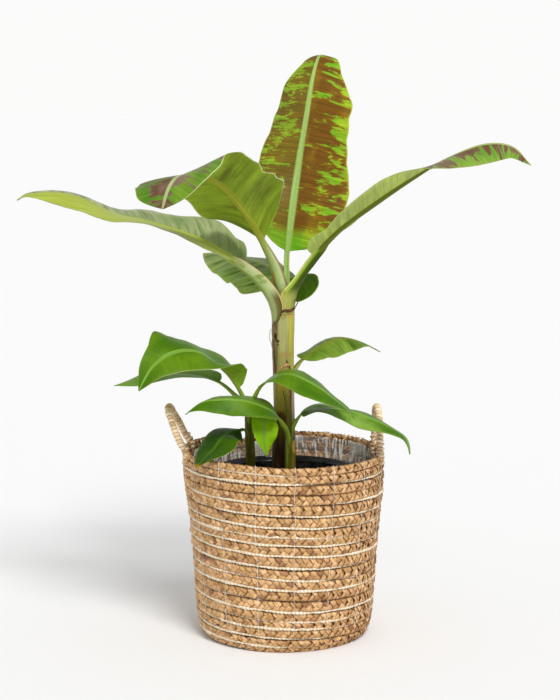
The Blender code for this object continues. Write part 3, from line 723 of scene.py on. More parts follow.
def makeLashing(name, side, material):
    cut = handle[name]
    bm = bmesh.new()
    for end in (-1, 1):
        t = np.linspace(0, 1, lashing["turns"] * lashing["steps"] + 1)
        angle = math.tau * lashing["turns"] * t * end
        z = lashing["bottom"] + (lashing["top"] - lashing["bottom"]) * t
        reach = lashing["reach"] * (1 - 0.22 * t) + 0.0006 * wobble(t * 14, 60 + end)
        x = side * (cut["footX"] - cut["twist"] * end) + reach * np.cos(angle)
        x = x + side * cut["lean"] * clamped((z - 0.322) / 0.05) ** 0.8 * 0.55
        y = end * handle["spread"] + reach * np.sin(angle)
        route = Route(triples(x, y, z + lashing["lean"] * np.cos(angle + 0.6)), polar(1, angle, 0 * z))

        def size(around, distance):
            uneven = 1 + 0.25 * wobble(distance / 0.01, 70 + end)
            return lashing["radius"] * uneven * (1 - 0.25 * np.abs(np.cos(2 * around)))
        layTube(bm, route, lashing["sides"], lashing["turns"] * lashing["stations"], size, end * 3.0)
    finishPiece("handle_" + name + "_lashing", bm, [], "rope", material)


looseEnds = {"count": 30, "seed": 8, "radius": 0.0007, "atRimOfSeven": 5, "sides": 5, "stations": 10,
             "centres": ((35, 26), (60, 18), (2, 10), (178, 8), (150, 16), (250, 60), (300, 50))}


def makeLooseEnds(material):
    draw = random.Random(looseEnds["seed"])
    bm = bmesh.new()
    for k in range(looseEnds["count"]):
        middle, spread = looseEnds["centres"][k % len(looseEnds["centres"])]
        angle = math.radians(draw.gauss(middle, spread / 2))
        atRim = k % 7 < looseEnds["atRimOfSeven"]
        z = 0.314 + 0.003 * draw.random() if atRim else draw.uniform(0.04, 0.29)
        radius = float(wallRadius(z)) - (0.004 if atRim else 0.001)
        length = draw.uniform(0.006, 0.015) if atRim else draw.uniform(0.004, 0.009)
        turn = draw.choice((-1, 1))
        rows = []
        for share in np.linspace(0, 1, 5):
            swing = angle + turn * share * length / radius * 0.85
            if atRim:
                lift = length * 0.22 * math.sin(2.4 * share + draw.uniform(-0.2, 0.2))
            else:
                lift = -0.2 * length * share
            out = radius + length * (0.22 if atRim else 0.35) * share * draw.uniform(0.6, 1.3)
            rows.append((out * math.cos(swing), out * math.sin(swing), z + lift))
        route = Route(smoothCurve(rows, 0.001), (math.cos(angle), math.sin(angle), 0.2))
        thick = looseEnds["radius"] * draw.uniform(0.6, 1.5)

        def size(around, distance):
            return thick * (1.05 - distance / route.length)
        layTube(bm, route, looseEnds["sides"], looseEnds["stations"], size, k * 0.7)
    finishPiece("loose_straw_ends", bm, [], "straw", material)


# Film liner, nursery pot and potting mix

film = {"around": 200, "low": (0.0, 0.05, 0.12, 0.20), "high": 43, "gap": 0.0135, "closest": 0.0092,
        "crinkle": 0.0022, "thickness": 0.0003, "underRim": 0.004}


def noiseAt(*place):
    return noise.noise(Vector(place))


def makeLiner():
    heights = np.concatenate([film["low"], np.linspace(0.25, 1.0, film["high"])])
    low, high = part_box("basket_liner")

    def place(u, v):
        share = np.interp(v, np.linspace(0, 1, len(heights)), heights)
        angle = math.tau * u
        z = low.z + (high.z - low.z) * share
        fold = np.array([noiseAt(math.cos(a) * 14, math.sin(a) * 14, h * 7)
                         + 0.5 * noiseAt(math.cos(a) * 30, math.sin(a) * 30, h * 12)
                         for a, h in zip(angle, z)])
        crinkled = wallRadius(z) - film["gap"] - 0.0006 + film["crinkle"] * fold * clamped(share * 4)
        radius = np.where(share > 0.001, crinkled, 0.002)
        radius = np.minimum(radius, wallRadius(z) - film["closest"])
        front = clamped(0.35 - np.sin(angle))
        z = z - clamped((share - 0.9) * 10) * (0.002 + 0.014 * front + 0.004 * np.abs(fold))
        z = z - clamped(high.z - rimHeight(angle) + film["underRim"]) * clamped(share * 3 - 2)
        return polar(radius, angle, z), pairs(angle * 0.155, z), pairs(u, share)

    material = newMaterial("clearFilm", (1.0, 0.97, 0.92), 0.28, 0.7)
    around, height = uvParts(material, "metres")
    # Painted glints: whiter, more opaque streaks along the crinkles; the milky clouds and the patch at the
    # left also whiten the film
    crease = grain(spot(around * 130.0, height * 26.0), 1.0, 5.0, 0.62, 1.0)
    milky = grain(spot(around * 16.0, height * 10.0), 1.0, 2.0)
    patch = rise(objectParts(material)[1], -0.130, -0.148) * 0.6
    paintedGlintsAndMilk = rise(crease, 0.51, 0.60) + rise(milky, 0.50, 0.68) * 0.45
    paint("Alpha", 0.06 + calc("ADD", paintedGlintsAndMilk, patch, clamp=True) * 0.80)
    bump(crease, 0.006)
    bm = bmesh.new()
    layGrid(bm, film["around"], len(heights) - 1, place)
    piece = finishPiece("basket_film", bm, ["basket_liner"], "film", material, close=False)
    shell = piece.modifiers.new("thickness", "SOLIDIFY")
    shell.thickness = film["thickness"]
    shell.offset = 0


pot = {"rimRadius": 0.127, "rimHeight": 0.018, "shoulder": 0.1205, "foot": 0.098, "wall": 0.0022,
       "top": 0.281, "steps": 72, "soilTop": 0.258, "sharp": 50.0}


def makePot():
    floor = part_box("nursery_pot")[0].z
    under = pot["top"] - pot["rimHeight"]
    top, lip, wall, foot, shoulder = (pot[key] for key in ("top", "rimRadius", "wall", "foot", "shoulder"))
    # From the middle of the floor's inside up the wall, over the rim and down the outside
    outline = [(0.001, floor + wall), (foot - wall, floor + wall), (shoulder - wall, under),
               (lip - 0.0052, under + 0.002), (lip - 0.0044, under + 0.008), (lip - 0.0060, under + 0.009),
               (lip - 0.0052, under + 0.0105), (lip - 0.0040, top - 0.004), (lip - 0.0034, top - 0.0012),
               (lip - 0.0022, top), (lip - 0.0010, top - 0.0002), (lip, top - 0.0020),
               (lip - 0.0006, under + 0.002), (lip - 0.0016, under), (shoulder + 0.0004, under),
               (shoulder, under - 0.002), (foot + 0.001, floor + 0.004), (foot - 0.001, floor),
               (foot - 0.008, floor + 0.0015), (0.001, floor + 0.0015)]
    bm = bmesh.new()
    knots = [bm.verts.new((r, 0, z)) for r, z in outline]
    edges = [bm.edges.new(pair) for pair in zip(knots[:-1], knots[1:])]
    bmesh.ops.spin(bm, geom=knots + edges, cent=(0, 0, 0), axis=(0, 0, 1), angle=math.tau,
                   steps=pot["steps"], use_merge=True)
    material = newMaterial("blackPlastic", (0.008, 0.008, 0.009), 0.30, 0.28)
    where = objectParts(material)[0]
    dust = grain(where, 90.0, 4.0)
    paint("Base Color", ramp(dust, (0.4, (0.005, 0.005, 0.006)), (0.8, (0.020, 0.018, 0.016))))
    paint("Roughness", rise(dust, 0.2, 1.4))
    bump(grain(where, 400.0), 0.0002, 0.3)
    piece = finishPiece("nursery_pot_shell", bm, ["nursery_pot"], "pot_plastic", material)
    piece.data.set_sharp_from_angle(angle=math.radians(pot["sharp"]))


mix = {"around": 72, "rings": 22, "lumps": 520, "seed": 5, "gap": 0.0006}


def makeSoil():
    low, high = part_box("soil")
    inside = (high.x - low.x) / 2 - mix["gap"]
    slope = (pot["shoulder"] - pot["foot"]) / (pot["top"] - pot["rimHeight"] - low.z)
    depth = pot["soilTop"] - low.z

    def height(x, y):
        # Rough, and heaped a little round the stem
        return (0.0035 * noiseAt(x * 28, y * 28, 1.7) + 0.0022 * noiseAt(x * 90, y * 90, 4.1)
                + 0.004 * math.exp(-((x - 0.001) ** 2 + y ** 2) / 0.0012))

    def place(u, v):
        angle = math.tau * u
        reach = clamped(v * 1.25)
        drop = clamped(v * 5 - 4)
        radius = inside * reach - drop * slope * depth
        points = polar(radius, angle, np.full(len(u), pot["soilTop"]))
        rough = [height(*point[:2]) if at < 0.985 else 0.0 for point, at in zip(points, reach)]
        points[:, 2] += rough - drop * (depth - 0.0004)
        return points, pairs(radius, angle), pairs(u, v)

    bm = bmesh.new()
    layGrid(bm, mix["around"], mix["rings"], place)
    bmesh.ops.remove_doubles(bm, verts=bm.verts, dist=1e-5)
    draw = random.Random(mix["seed"])
    for k in range(mix["lumps"]):
        angle = draw.uniform(0, math.tau)
        reach = (inside - 0.004) * math.sqrt(draw.uniform(0.0, 1.0))
        x, y = reach * math.cos(angle), reach * math.sin(angle)
        size = draw.uniform(0.0012, 0.0042)
        made = bmesh.ops.create_icosphere(bm, subdivisions=1, radius=size)["verts"]
        limits = ((0.7, 1.5), (0.6, 1.2), (0.5, 0.9))
        stretch = Matrix.Diagonal([draw.uniform(*ends) for ends in limits]).to_4x4()
        turn = (Matrix.Rotation(draw.uniform(0, math.tau), 4, "Z")
                @ Matrix.Rotation(draw.uniform(-0.5, 0.5), 4, "X"))
        lifted = Matrix.Translation((x, y, pot["soilTop"] + height(x, y) + size * 0.25))
        bmesh.ops.transform(bm, matrix=lifted @ turn @ stretch, verts=made)
    material = newMaterial("pottingMix", (0.03, 0.02, 0.013), 0.95)
    where = objectParts(material)[0]
    colour = ramp(grain(where, 70.0, 4.0), (0.35, (0.018, 0.011, 0.007)), (0.6, (0.055, 0.034, 0.020)),
                  (0.75, (0.10, 0.065, 0.038)))
    paint("Base Color", blend(rise(grain(where, 260.0), 0.72, 0.76), colour, (0.62, 0.60, 0.55)))
    bump(grain(where, 180.0, 5.0), 0.002, 0.8)
    finishPiece("potting_mix", bm, ["soil"], "potting_mix", material)


# Leaves. A cut gives the midrib's route in millimetres, the half widths and how each half is raised
# along it, in degrees. "corners" are the corners and dents of each half's edge: where along the blade,
# how long, and how much wider it makes the half.

leafForm = {"thickness": 0.0006, "tipRib": 0.0010, "channel": 38.0, "channelOpens": 0.016, "arch": 14.0,
            "bladeOpens": 0.010, "sheath": 0.045, "spacing": 0.003, "headingShare": 0.13, "stations": 132,
            "fewStations": 84}
plainLeaf = {"round": (0.14, 0.14), "taper": (0.50, 0.50), "blunt": (2, 2), "corners": ((), ()), "waves": 2.0,
             "wave": 0.0010, "rib": (0.0042, 0.0026)}

# Points across one half: share of the stalk's half width, share of the rib's and share of the blade's
wideSteps = ((0.2, 0.3, 0), (0.4, 0.6, 0), (0.56, 0.86, 0), (0.70, 1, 0.02), (0.76, 1, 0.06), (0.81, 1, 0.13),
             (0.85, 1, 0.23), (0.88, 1, 0.35), (0.905, 1, 0.48), (0.93, 1, 0.61), (0.953, 1, 0.74),
             (0.975, 1, 0.86), (0.99, 1, 0.95), (1, 1, 1))
fineSteps = ((0.3, 0.4, 0), (0.55, 0.8, 0), (0.78, 1, 0.05), (0.84, 1, 0.16), (0.88, 1, 0.32),
             (0.92, 1, 0.50), (0.95, 1, 0.68), (0.98, 1, 0.86), (1, 1, 1))

mainLeaves = {
    "leaf_upright": {"route": ((4, 10, 540), (4.5, 14, 572), (3.5, 30, 609), (4, 45, 648), (14.5, 75, 731),
        (26.5, 105, 812), (37, 125, 875), (47, 147, 937), (57, 170, 974), (64, 190, 983), (71, 210, 975)),
        "stalk": 0.118, "rib": (0.0050, 0.0042), "widths": (0.077, 0.089),
        "left": (55, 40, 10, -5, -12, -8, -15), "right": (15, 0, -5, 5, -4, -8, -15), "round": (0.17, 0.08),
        "taper": (0.45, 0.50), "blunt": (2.0, 2.4),
        "corners": (((0.53, 0.09, -0.11), (0.86, 0.10, -0.16)),
        ((0.27, 0.13, 0.12), (0.50, 0.06, -0.03), (0.60, 0.06, -0.06), (0.70, 0.07, -0.05),
        (0.82, 0.14, -0.17))), "waves": 4.0, "wave": 0.0028},
    "leaf_right": {"route": ((6, 4, 540), (8, 2, 578), (24, -2, 608), (50, -10, 648), (92, -20, 695),
        (153, -35, 741), (211, -50, 782), (259, -60, 812), (322, -70, 838), (371, -70, 835),
        (403, -70, 804)), "stalk": 0.123, "rib": (0.0070, 0.0056), "widths": (0.042, 0.065),
        "left": (10, -5, 12, 5, -25, -40, -50), "right": (25, 13, 21, 11, -20, -55, -70),
        "round": (0.10, 0.10), "corners": ((), ((0.03, 0.04, -0.15), (0.12, 0.08, -0.42))), "waves": 3.0,
        "wave": 0.0020},
    "leaf_front": {"route": ((2, 6, 530), (-2, 3, 574), (-8.5, -3, 606), (-19.5, -16, 640), (-41, -45, 683),
        (-67, -80, 727), (-98, -120, 769), (-129, -155, 789), (-153, -180, 796), (-171, -205, 791),
        (-183, -225, 772), (-191, -235, 744)), "stalk": 0.164, "rib": (0.0134, 0.0050),
        "widths": (0.078, 0.074), "left": (86, 69, 45, 33, 25, 2, -10),
        "right": (25, -5, -22, -22, -25, -3, 4), "round": (0.12, 0.12), "taper": (0.74, 0.84),
        "blunt": (2, 14), "corners": (((0.08, 0.07, -0.02), (0.20, 0.07, 0.12), (0.39, 0.07, -0.15),
        (0.60, 0.05, 0.07)), ((0.12, 0.08, 0.04), (0.86, 0.10, -0.08), (1.0, 0.12, -0.45))), "waves": 3.5,
        "wave": 0.0030},
    "leaf_left": {"route": ((-8, 2, 530), (-16, 0, 573), (-36, -6, 602), (-66, -11, 629), (-142, -20, 676),
        (-224, -30, 707), (-282, -30, 721), (-332, -30, 745), (-376, -30, 756), (-423, -30, 754),
        (-445, -30, 744)), "stalk": 0.124, "rib": (0.0062, 0.0058), "widths": (0.055, 0.062),
        "left": (0, -5, -5, -2, -20, -32, -14), "right": (35, 40, 20, 8, 1, 0, 15), "round": (0.10, 0.05),
        "corners": ((), ((0.08, 0.08, -0.22),)), "waves": 3.0, "wave": 0.0020},
    "leaf_back": {"route": ((1, 10, 530), (2, 16, 568), (1, 45, 595), (-10, 90, 611), (-33, 140, 620),
        (-70, 190, 625), (-113, 240, 627), (-148, 280, 625)), "stalk": 0.086, "rib": (0.0075, 0.0046),
        "widths": (0.080, 0.074), "left": (-34, -20, -22, -20, -20, -20, -10),
        "right": (26, -52, -30, -9, -9, -5, 10), "round": (0.14, 0.09), "taper": (0.35, 0.35),
        "corners": ((), ((0.06, 0.06, -0.09),)), "waves": 4.0, "wave": 0.0035},
    "leaf_low_right": {"route": ((1, 4, 410), (7, 12, 434), (19, 20, 455), (31, 27, 469), (51, 42, 483),
        (71, 55, 492), (94, 68, 499), (117, 80, 495), (140, 88, 486), (167, 95, 471)), "stalk": 0.070,
        "rib": (0.0048, 0.0030), "widths": (0.033, 0.033), "left": (0, -15, -8, -9, -2, 0, 0),
        "right": (-13, -25, -48, -52, -40, -7, 0), "taper": (0.40, 0.40), "wave": 0.0012}}

pupLeaves = {
    "pup_left_leaf_top": {"route": ((-61, -32, 365), (-64, -35, 399), (-72, -37, 418), (-84, -42, 439),
        (-101, -50, 461), (-136, -70, 492), (-159, -85, 500), (-180, -100, 499), (-198, -112, 492),
        (-217, -125, 477), (-229, -135, 458), (-238, -140, 441)), "stalk": 0.068, "rib": (0.0046, 0.0030),
        "widths": (0.043, 0.048), "left": (70, 31, -24, -46, -40, -32, -26),
        "right": (30, 28, 17, 20, 46, 66, 30), "round": (0.18, 0.18), "taper": (0.55, 0.50),
        "blunt": (2, 1.3), "corners": (((0.02, 0.07, -0.42), (0.11, 0.08, -0.18)), ((0.65, 0.085, 0.38),)),
        "wave": 0.0015},
    "pup_left_leaf_under": {"route": ((-60, -30, 365), (-64, -30, 398), (-85, -25, 416), (-100, -20, 429),
        (-116, -15, 438), (-144, -5, 445), (-186, 0, 448), (-229, 5, 442), (-290, 5, 426)), "stalk": 0.095,
        "widths": (0.028, 0.028), "left": (8, 2, -3, -16, -23, -28, -24),
        "right": (29, 14, 14, 12, 12, 5, -2)},
    "pup_left_leaf_across": {"route": ((-60, -34, 365), (-58, -45, 393), (-50, -50, 417), (-38, -60, 438),
        (-16, -78, 455), (9, -90, 461), (33, -100, 454), (58, -108, 441), (82, -115, 423), (102, -122, 408),
        (115, -127, 392)), "stalk": 0.084, "widths": (0.036, 0.036), "left": (17, 9, 3, -6, -10, -6, -6),
        "right": (-15, -13, -23, -31, -24, -6, 20), "wave": 0.0012},
    "pup_left_leaf_inner": {"route": ((-60, -33, 355), (-58, -38, 378), (-53, -45, 394), (-43, -58, 402),
        (-36, -70, 394), (-35, -82, 369), (-34, -88, 346), (-30, -90, 322)), "stalk": 0.053,
        "rib": (0.0036, 0.0024), "widths": (0.026, 0.020), "left": (0, -25, -25, -15, 5, 10, 10),
        "right": (-10, -25, -10, 0, 10, 10, 10), "taper": (0.45, 0.45), "waves": 1.0, "wave": 0.0008},
    "pup_left_leaf_low": {"route": ((-60, -32, 342), (-66, -40, 358), (-75, -50, 361), (-86, -60, 361),
        (-98, -75, 357), (-107, -90, 351), (-118, -112, 339), (-133, -130, 327), (-146, -145, 314)),
        "stalk": 0.033, "rib": (0.0036, 0.0024), "widths": (0.032, 0.032),
        "left": (-60, -40, -6, -13, -6, 4, 5), "right": (-7, 0, 0, -4, -4, -2, 5)},
    "pup_right_leaf_left": {"route": ((8, -53, 330), (5, -60, 356), (-4, -68, 374), (-15, -78, 391),
        (-30, -88, 403), (-59, -100, 417), (-84, -105, 422), (-109, -108, 422), (-138, -110, 417),
        (-164, -110, 397)), "stalk": 0.070, "widths": (0.030, 0.030),
        "left": (-30, -32, -50, -64, -52, -42, 0), "right": (41, 22, 8, 1, -3, -13, -4)},
    "pup_right_leaf_right": {"route": ((10, -50, 330), (11, -50, 354), (15, -53, 370), (23, -57, 384),
        (32, -60, 394), (59, -66, 400), (107, -75, 397), (145, -82, 385), (183, -90, 367), (201, -93, 352),
        (208, -95, 327)), "stalk": 0.064, "widths": (0.026, 0.028), "left": (5, 5, -5, -4, -7, -7, 20),
        "right": (-30, -7, -25, -46, -30, -12, 0)}}


def alongKnots(knots, t):
    last = len(knots) - 1
    place = min(max(t, 0.0), 1.0) * last
    i = min(int(place), last - 1)
    a, b = knots[i], knots[i + 1]
    before = knots[i - 1] if i > 0 else 2 * a - b
    after = knots[i + 2] if i + 2 <= last else 2 * b - a
    return curveBetween(before, a, b, after, place - i)


class Midrib:
    # A leaf's centre line with its directions: along it, to its left, and up from the blade
    def __init__(self, route):
        route = np.array(route) / 1000
        self.points = smoothCurve(route, leafForm["spacing"])
        self.along = unit(np.gradient(self.points, axis=0))
        self.length = travelled(smoothCurve(route, 0.0005))[-1]
        count = len(self.points)
        reach = max(2, round(count * leafForm["headingShare"]))
        plan = np.array([self.along[max(0, i - reach):i + reach + 1, :2].mean(axis=0) for i in range(count)])
        left = triples(-plan[:, 1], plan[:, 0], np.zeros(count))
        self.left = unit(left - (left * self.along).sum(axis=1)[:, None] * self.along)

    def at(self, distance):
        place = distance / self.length * (len(self.points) - 1)
        i = min(int(place), len(self.points) - 2)
        f = place - i
        point, along, left = (Vector((1 - f) * table[i] + f * table[i + 1])
                              for table in (self.points, self.along, self.left))
        along.normalize()
        left = (left - left.dot(along) * along).normalized()
        return point, left, along.cross(left)


def bladeShare(q, rounding, taper, blunt, corners):
    # A half's width: rounded at the foot, tapered or blunt at the tip, with the corners and dents it has
    base = math.sqrt(1 - (1 - min(q / rounding, 1)) ** 2)
    tip = 1 - (max(0, q - taper) / (1 - taper)) ** blunt
    extra = sum(more * max(0, 1 - abs(q - middle) / reach) for middle, reach, more in corners)
    return base * tip * (1 + extra)


def leafRing(leaf, midrib, distance, steps, seed):
    # One ring of points, each with its distance from the rib's middle and its share of the blade
    point, left, up = midrib.at(distance)
    q = (distance - leaf["stalk"]) / (midrib.length - leaf["stalk"])
    root, base = leaf["rib"]
    if q < 0:
        rib = np.interp(distance, (0, leafForm["sheath"], leaf["stalk"]), (0.72 * root, root, base))
    else:
        rib = leafForm["tipRib"] + (base - leafForm["tipRib"]) * (1 - q) ** 0.8
    opened = min(max(1 + (distance - leaf["stalk"]) / leafForm["channelOpens"], 0), 1)
    halves = []
    for k, sign, lifts in ((0, 1, leaf["left"]), (1, -1, leaf["right"])):
        width = leaf["widths"][k] * (1 + 0.03 * noiseAt(q * 9, sign * 5.7, seed))
        shape = [leaf[key][k] for key in ("round", "taper", "blunt", "corners")]
        share = bladeShare(q, *shape) if q > 0 else 0
        blade = max(width - rib, 0) * share
        spread = min(blade / leafForm["bladeOpens"], 1)
        lift = leafForm["channel"] + (alongKnots(lifts, q) - leafForm["channel"]) * opened
        ripple = leaf["wave"] * math.sin(math.tau * leaf["waves"] * q + sign) * share
        ripple += 0.5 * leaf["wave"] * share * noiseAt(q * 17, sign * 3.1, seed)
        here = point.copy()
        reached = crossed = 0.0
        top, low = [], []
        for onStalk, onRib, onBlade in steps:
            out = rib * (onStalk + (onRib - onStalk) * spread) + blade * onBlade
            angle = math.radians(lift + leafForm["arch"] * opened * (0.5 - (onBlade + crossed) / 2))
            here = here + (sign * math.cos(angle) * left + math.sin(angle) * up) * (out - reached)
            reached, crossed = out, onBlade
            under = angle if angle > 0 else angle * onBlade ** 0.3
            square = math.cos(under) * up - sign * math.sin(under) * left
            face = here + square * ripple * onBlade ** 2
            belly = rib * math.sqrt(max(0, 1 - min(out / rib, 1) ** 2))
            edge = (out - rib) / max(blade, 1e-6) if out > rib else out / rib - 1
            thin = leafForm["thickness"] * (1 - 0.6 * max(edge, 0))
            top.append((*face, sign * out, edge))
            low.append((*(face - square * (thin + belly)), sign * out, edge))
        halves.append((top, low))
    (leftTop, leftLow), (rightTop, rightLow) = halves
    middle = [(*point, 0.0, -1.0)]
    under = [(*(point - up * (leafForm["thickness"] + rib)), 0.0, -1.0)]
    return rightTop[::-1] + middle + leftTop + leftLow[::-1] + under + rightLow, q


def makeLeaf(name, leaf, look, steps, stations, slotName, seed):
    midrib = Midrib(leaf["route"])
    stalk = leaf["stalk"]
    stalkCount = max(6, round(stalk / midrib.length * stations * 0.8))
    bladeCount = stations - stalkCount
    distances = [stalk * k / stalkCount for k in range(stalkCount)]
    for k in range(bladeCount + 1):
        share = 0.55 * (1 - math.cos(math.pi * k / bladeCount)) / 2 + 0.45 * k / bladeCount
        distances.append(stalk + (midrib.length - stalk) * share)
    made = [leafRing(leaf, midrib, distance, steps, seed) for distance in distances]
    rings = np.array([ring for ring, q in made])
    shares = np.array([q for ring, q in made])
    distances = np.array(distances)
    size = rings.shape[1]

    def place(u, v):
        corner = np.rint(u * size).astype(int) % size
        row = np.rint(v * (len(made) - 1)).astype(int)
        found = rings[row, corner]
        return found[:, :3], pairs(found[:, 3], distances[row]), pairs(found[:, 4], shares[row])

    bm = bmesh.new()
    layGrid(bm, size, len(made) - 1, place, lambda u: (u * size > (size - 1) / 2).astype(int))
    faces = [leafFace(name, look, upper, seed) for upper in (True, False)]
    finishPiece(name + "_blade", bm, [name], slotName, *faces)


# Looks: colours of each face, its rib and its margin, how much of the upper face is blotched, how far
# the veins sweep forward, how far the rib's colour spreads on the left and right halves, and the tones
# across the back of the stalk. "rightTint" is a tone multiplied on the right half and the shares of the blade
# where it ends and is full; on the back leaf and the right pup's right leaf it is painted shade on the lobe
# at the foot.
plainLook = {"upperDark": None, "underDark": None, "sweep": (0.42, 0.42), "sheen": 0.40,
             "gloss": 0.13, "tip": None, "ribSpread": (0.03, 0.03), "blotch": 0.0, "blotchLeft": None,
             "veins": 1.0, "stalkBands": None, "rightTint": None, "stripe": 100.0, "spots": ()}
leafLooks = {
    "leaf_upright": {"upper": (0.15, 0.40, 0.014), "fresh": (0.36, 0.50, 0.018), "under": (0.30, 0.40, 0.06),
        "ribTop": (0.36, 0.54, 0.14), "ribUnder": (0.36, 0.42, 0.08), "margin": (0.44, 0.50, 0.03),
        "blotch": 0.78, "blotchColour": (0.17, 0.058, 0.005), "blotchPale": (0.27, 0.135, 0.008),
        "blotchLeft": (0.135, 0.100, 0.012), "sweep": (0.05, -0.22), "sheen": 0.5, "gloss": 0.14},
    "leaf_right": {"upper": (0.13, 0.30, 0.025), "fresh": (0.24, 0.38, 0.05), "under": (0.37, 0.46, 0.095),
        "veins": 0.6, "ribTop": (0.40, 0.48, 0.16), "ribUnder": (0.14, 0.17, 0.012),
        "margin": (0.40, 0.36, 0.12), "blotch": 0.50, "blotchColour": (0.13, 0.055, 0.03),
        "blotchPale": (0.22, 0.14, 0.08), "underDark": (0.28, 0.36, 0.065),
        # The dark olive band across the back of the stalk is painted shadow on its rounded underside
        "stalkBands": ((-1.0, (0.46, 0.48, 0.06)), (-0.86, (0.30, 0.44, 0.07)), (-0.62, (0.26, 0.38, 0.05)),
        (-0.45, (0.07, 0.11, 0.002)), (0.0, (0.065, 0.10, 0.002)), (0.3, (0.34, 0.38, 0.12)))},
    "leaf_front": {"upper": (0.085, 0.22, 0.012), "fresh": (0.17, 0.30, 0.022),
        "under": (0.20, 0.290, 0.018), "veins": 0.7, "stripe": 34.0,
        "spots": ((-19.5, 607, 3.6, 15, (0.40, 0.19, 0.02), 0.8),), "ribTop": (0.42, 0.50, 0.20),
        "ribUnder": (0.30, 0.33, 0.022), "margin": (0.70, 0.70, 0.42), "blotch": 0.50,
        "blotchColour": (0.13, 0.055, 0.035), "blotchPale": (0.24, 0.15, 0.11),
        "underDark": (0.115, 0.145, 0.010),
        "stalkBands": ((-1.0, (0.36, 0.40, 0.06)), (-0.45, (0.20, 0.22, 0.015)),
        (-0.12, (0.24, 0.26, 0.025)), (0.12, (0.36, 0.46, 0.16)), (0.72, (0.44, 0.54, 0.25)),
        (0.86, (0.34, 0.20, 0.09)))},
    # Its pale grey tones ("upper" and "fresh") are painted sheen on its face
    "leaf_left": {"upper": (0.24, 0.32, 0.10), "fresh": (0.42, 0.43, 0.24), "under": (0.24, 0.32, 0.08),
        "veins": 0.6, "ribTop": (0.38, 0.45, 0.06), "ribUnder": (0.34, 0.42, 0.07),
        "margin": (0.36, 0.36, 0.08), "upperDark": (0.085, 0.17, 0.025),
        "rightTint": ((0.92, 0.99, 0.88), 0.45, 0.20), "ribSpread": (0.95, 0.03),
        "stalkBands": ((-0.2, (0.34, 0.40, 0.04)), (0.25, (0.36, 0.42, 0.05)), (0.5, (0.36, 0.44, 0.14)),
        (0.80, (0.42, 0.50, 0.24)), (0.93, (0.52, 0.50, 0.26)), (1.0, (0.60, 0.36, 0.24)))},
    "leaf_back": {"upper": (0.14, 0.25, 0.03), "fresh": (0.29, 0.38, 0.10), "under": (0.16, 0.24, 0.04),
        "gloss": 0.06, "veins": 0.6, "ribTop": (0.30, 0.40, 0.10), "ribUnder": (0.25, 0.32, 0.08),
        "margin": (0.36, 0.46, 0.10), "upperDark": (0.035, 0.085, 0.006), "underDark": (0.035, 0.085, 0.006),
        # rightTint: painted shade on the right lobe at the foot of the blade
        "rightTint": ((0.38, 0.56, 0.10), 0.55, 0.35), "tip": (0.34, 0.32, 0.05)},
    "leaf_low_right": {"upper": (0.080, 0.165, 0.010), "fresh": (0.19, 0.30, 0.035),
        "under": (0.24, 0.34, 0.07), "stripe": 50.0, "ribTop": (0.20, 0.23, 0.02),
        "ribUnder": (0.36, 0.38, 0.14), "margin": (0.30, 0.36, 0.08), "upperDark": (0.055, 0.105, 0.006),
        "veins": 0.7, "gloss": 0.06}}
pupLook = {"upper": (0.054, 0.148, 0.003), "fresh": (0.112, 0.225, 0.006), "under": (0.15, 0.26, 0.015),
        "ribTop": (0.19, 0.36, 0.045), "ribUnder": (0.22, 0.33, 0.03), "margin": (0.28, 0.36, 0.04),
        "sheen": 0.40, "gloss": 0.09, "ribSpread": (0.0, 0.0), "veins": 0.35}
pupTints = {"pup_left_leaf_inner": {"upper": (0.13, 0.33, 0.002), "fresh": (0.24, 0.45, 0.003)},
            # The low leaf's very dark greens are painted shade, a darker copy of the pup leaves' colours; its
            # yellow-brown tip is its own
            "pup_left_leaf_low": {"upper": (0.020, 0.062, 0.002), "fresh": (0.045, 0.115, 0.004),
                                  "ribTop": (0.06, 0.15, 0.008), "tip": (0.32, 0.20, 0.015)},
            "pup_left_leaf_top": {"margin": (0.50, 0.56, 0.22)},
            # The under leaf's lighter greens are painted light, a brighter copy of the pup leaves' colours to
            # offset the shadow on it
            "pup_left_leaf_under": {"upper": (0.12, 0.26, 0.03), "fresh": (0.20, 0.34, 0.06)},
            # rightTint here is painted shade on the lobe at the foot of the blade
            "pup_right_leaf_right": {"fresh": (0.21, 0.36, 0.05), "under": (0.04, 0.09, 0.004),
                                     "rightTint": ((0.36, 0.44, 0.30), 0.30, 0.12)}}


def darkStain(colour, look, edge, q, side, far, onLeft, cloud, seed):
    # Blotches along the veins, which leave the foot of the blade clear
    stain = grain(spot(side * 62.0, far * 15.0, seed * 1.3), 1.0, 6.0, 0.66, 0.5) + (0.62 - edge) * 0.12
    if look["blotchLeft"]:
        fleck = grain(spot(side * 190.0, far * 70.0), 1.0, 5.0, 0.7)
        stain = stain + (fleck - 0.5) * (0.16 + onLeft * 0.42)
        colour = blend(onLeft * 0.55, colour, (0.17, 0.29, 0.02))
    limit = 0.62 - 0.22 * look["blotch"]
    dusk = blend(rise(cloud, 0.46, 0.64), look["blotchColour"], look["blotchPale"])
    dusk = blend(rise(stain, limit + 0.08, limit) * 0.7, dusk, look["blotchPale"])
    if look["blotchLeft"]:
        dusk = blend(onLeft * 0.65, dusk, look["blotchLeft"])
    clear = rise(edge, 0.0, 0.04) * rise(q, 0.04, 0.12)
    return blend(rise(stain, limit, limit + 0.03) * clear * 0.95, colour, dusk)


def between(onLeft, sides):
    left, right = sides
    return right + onLeft * (left - right)


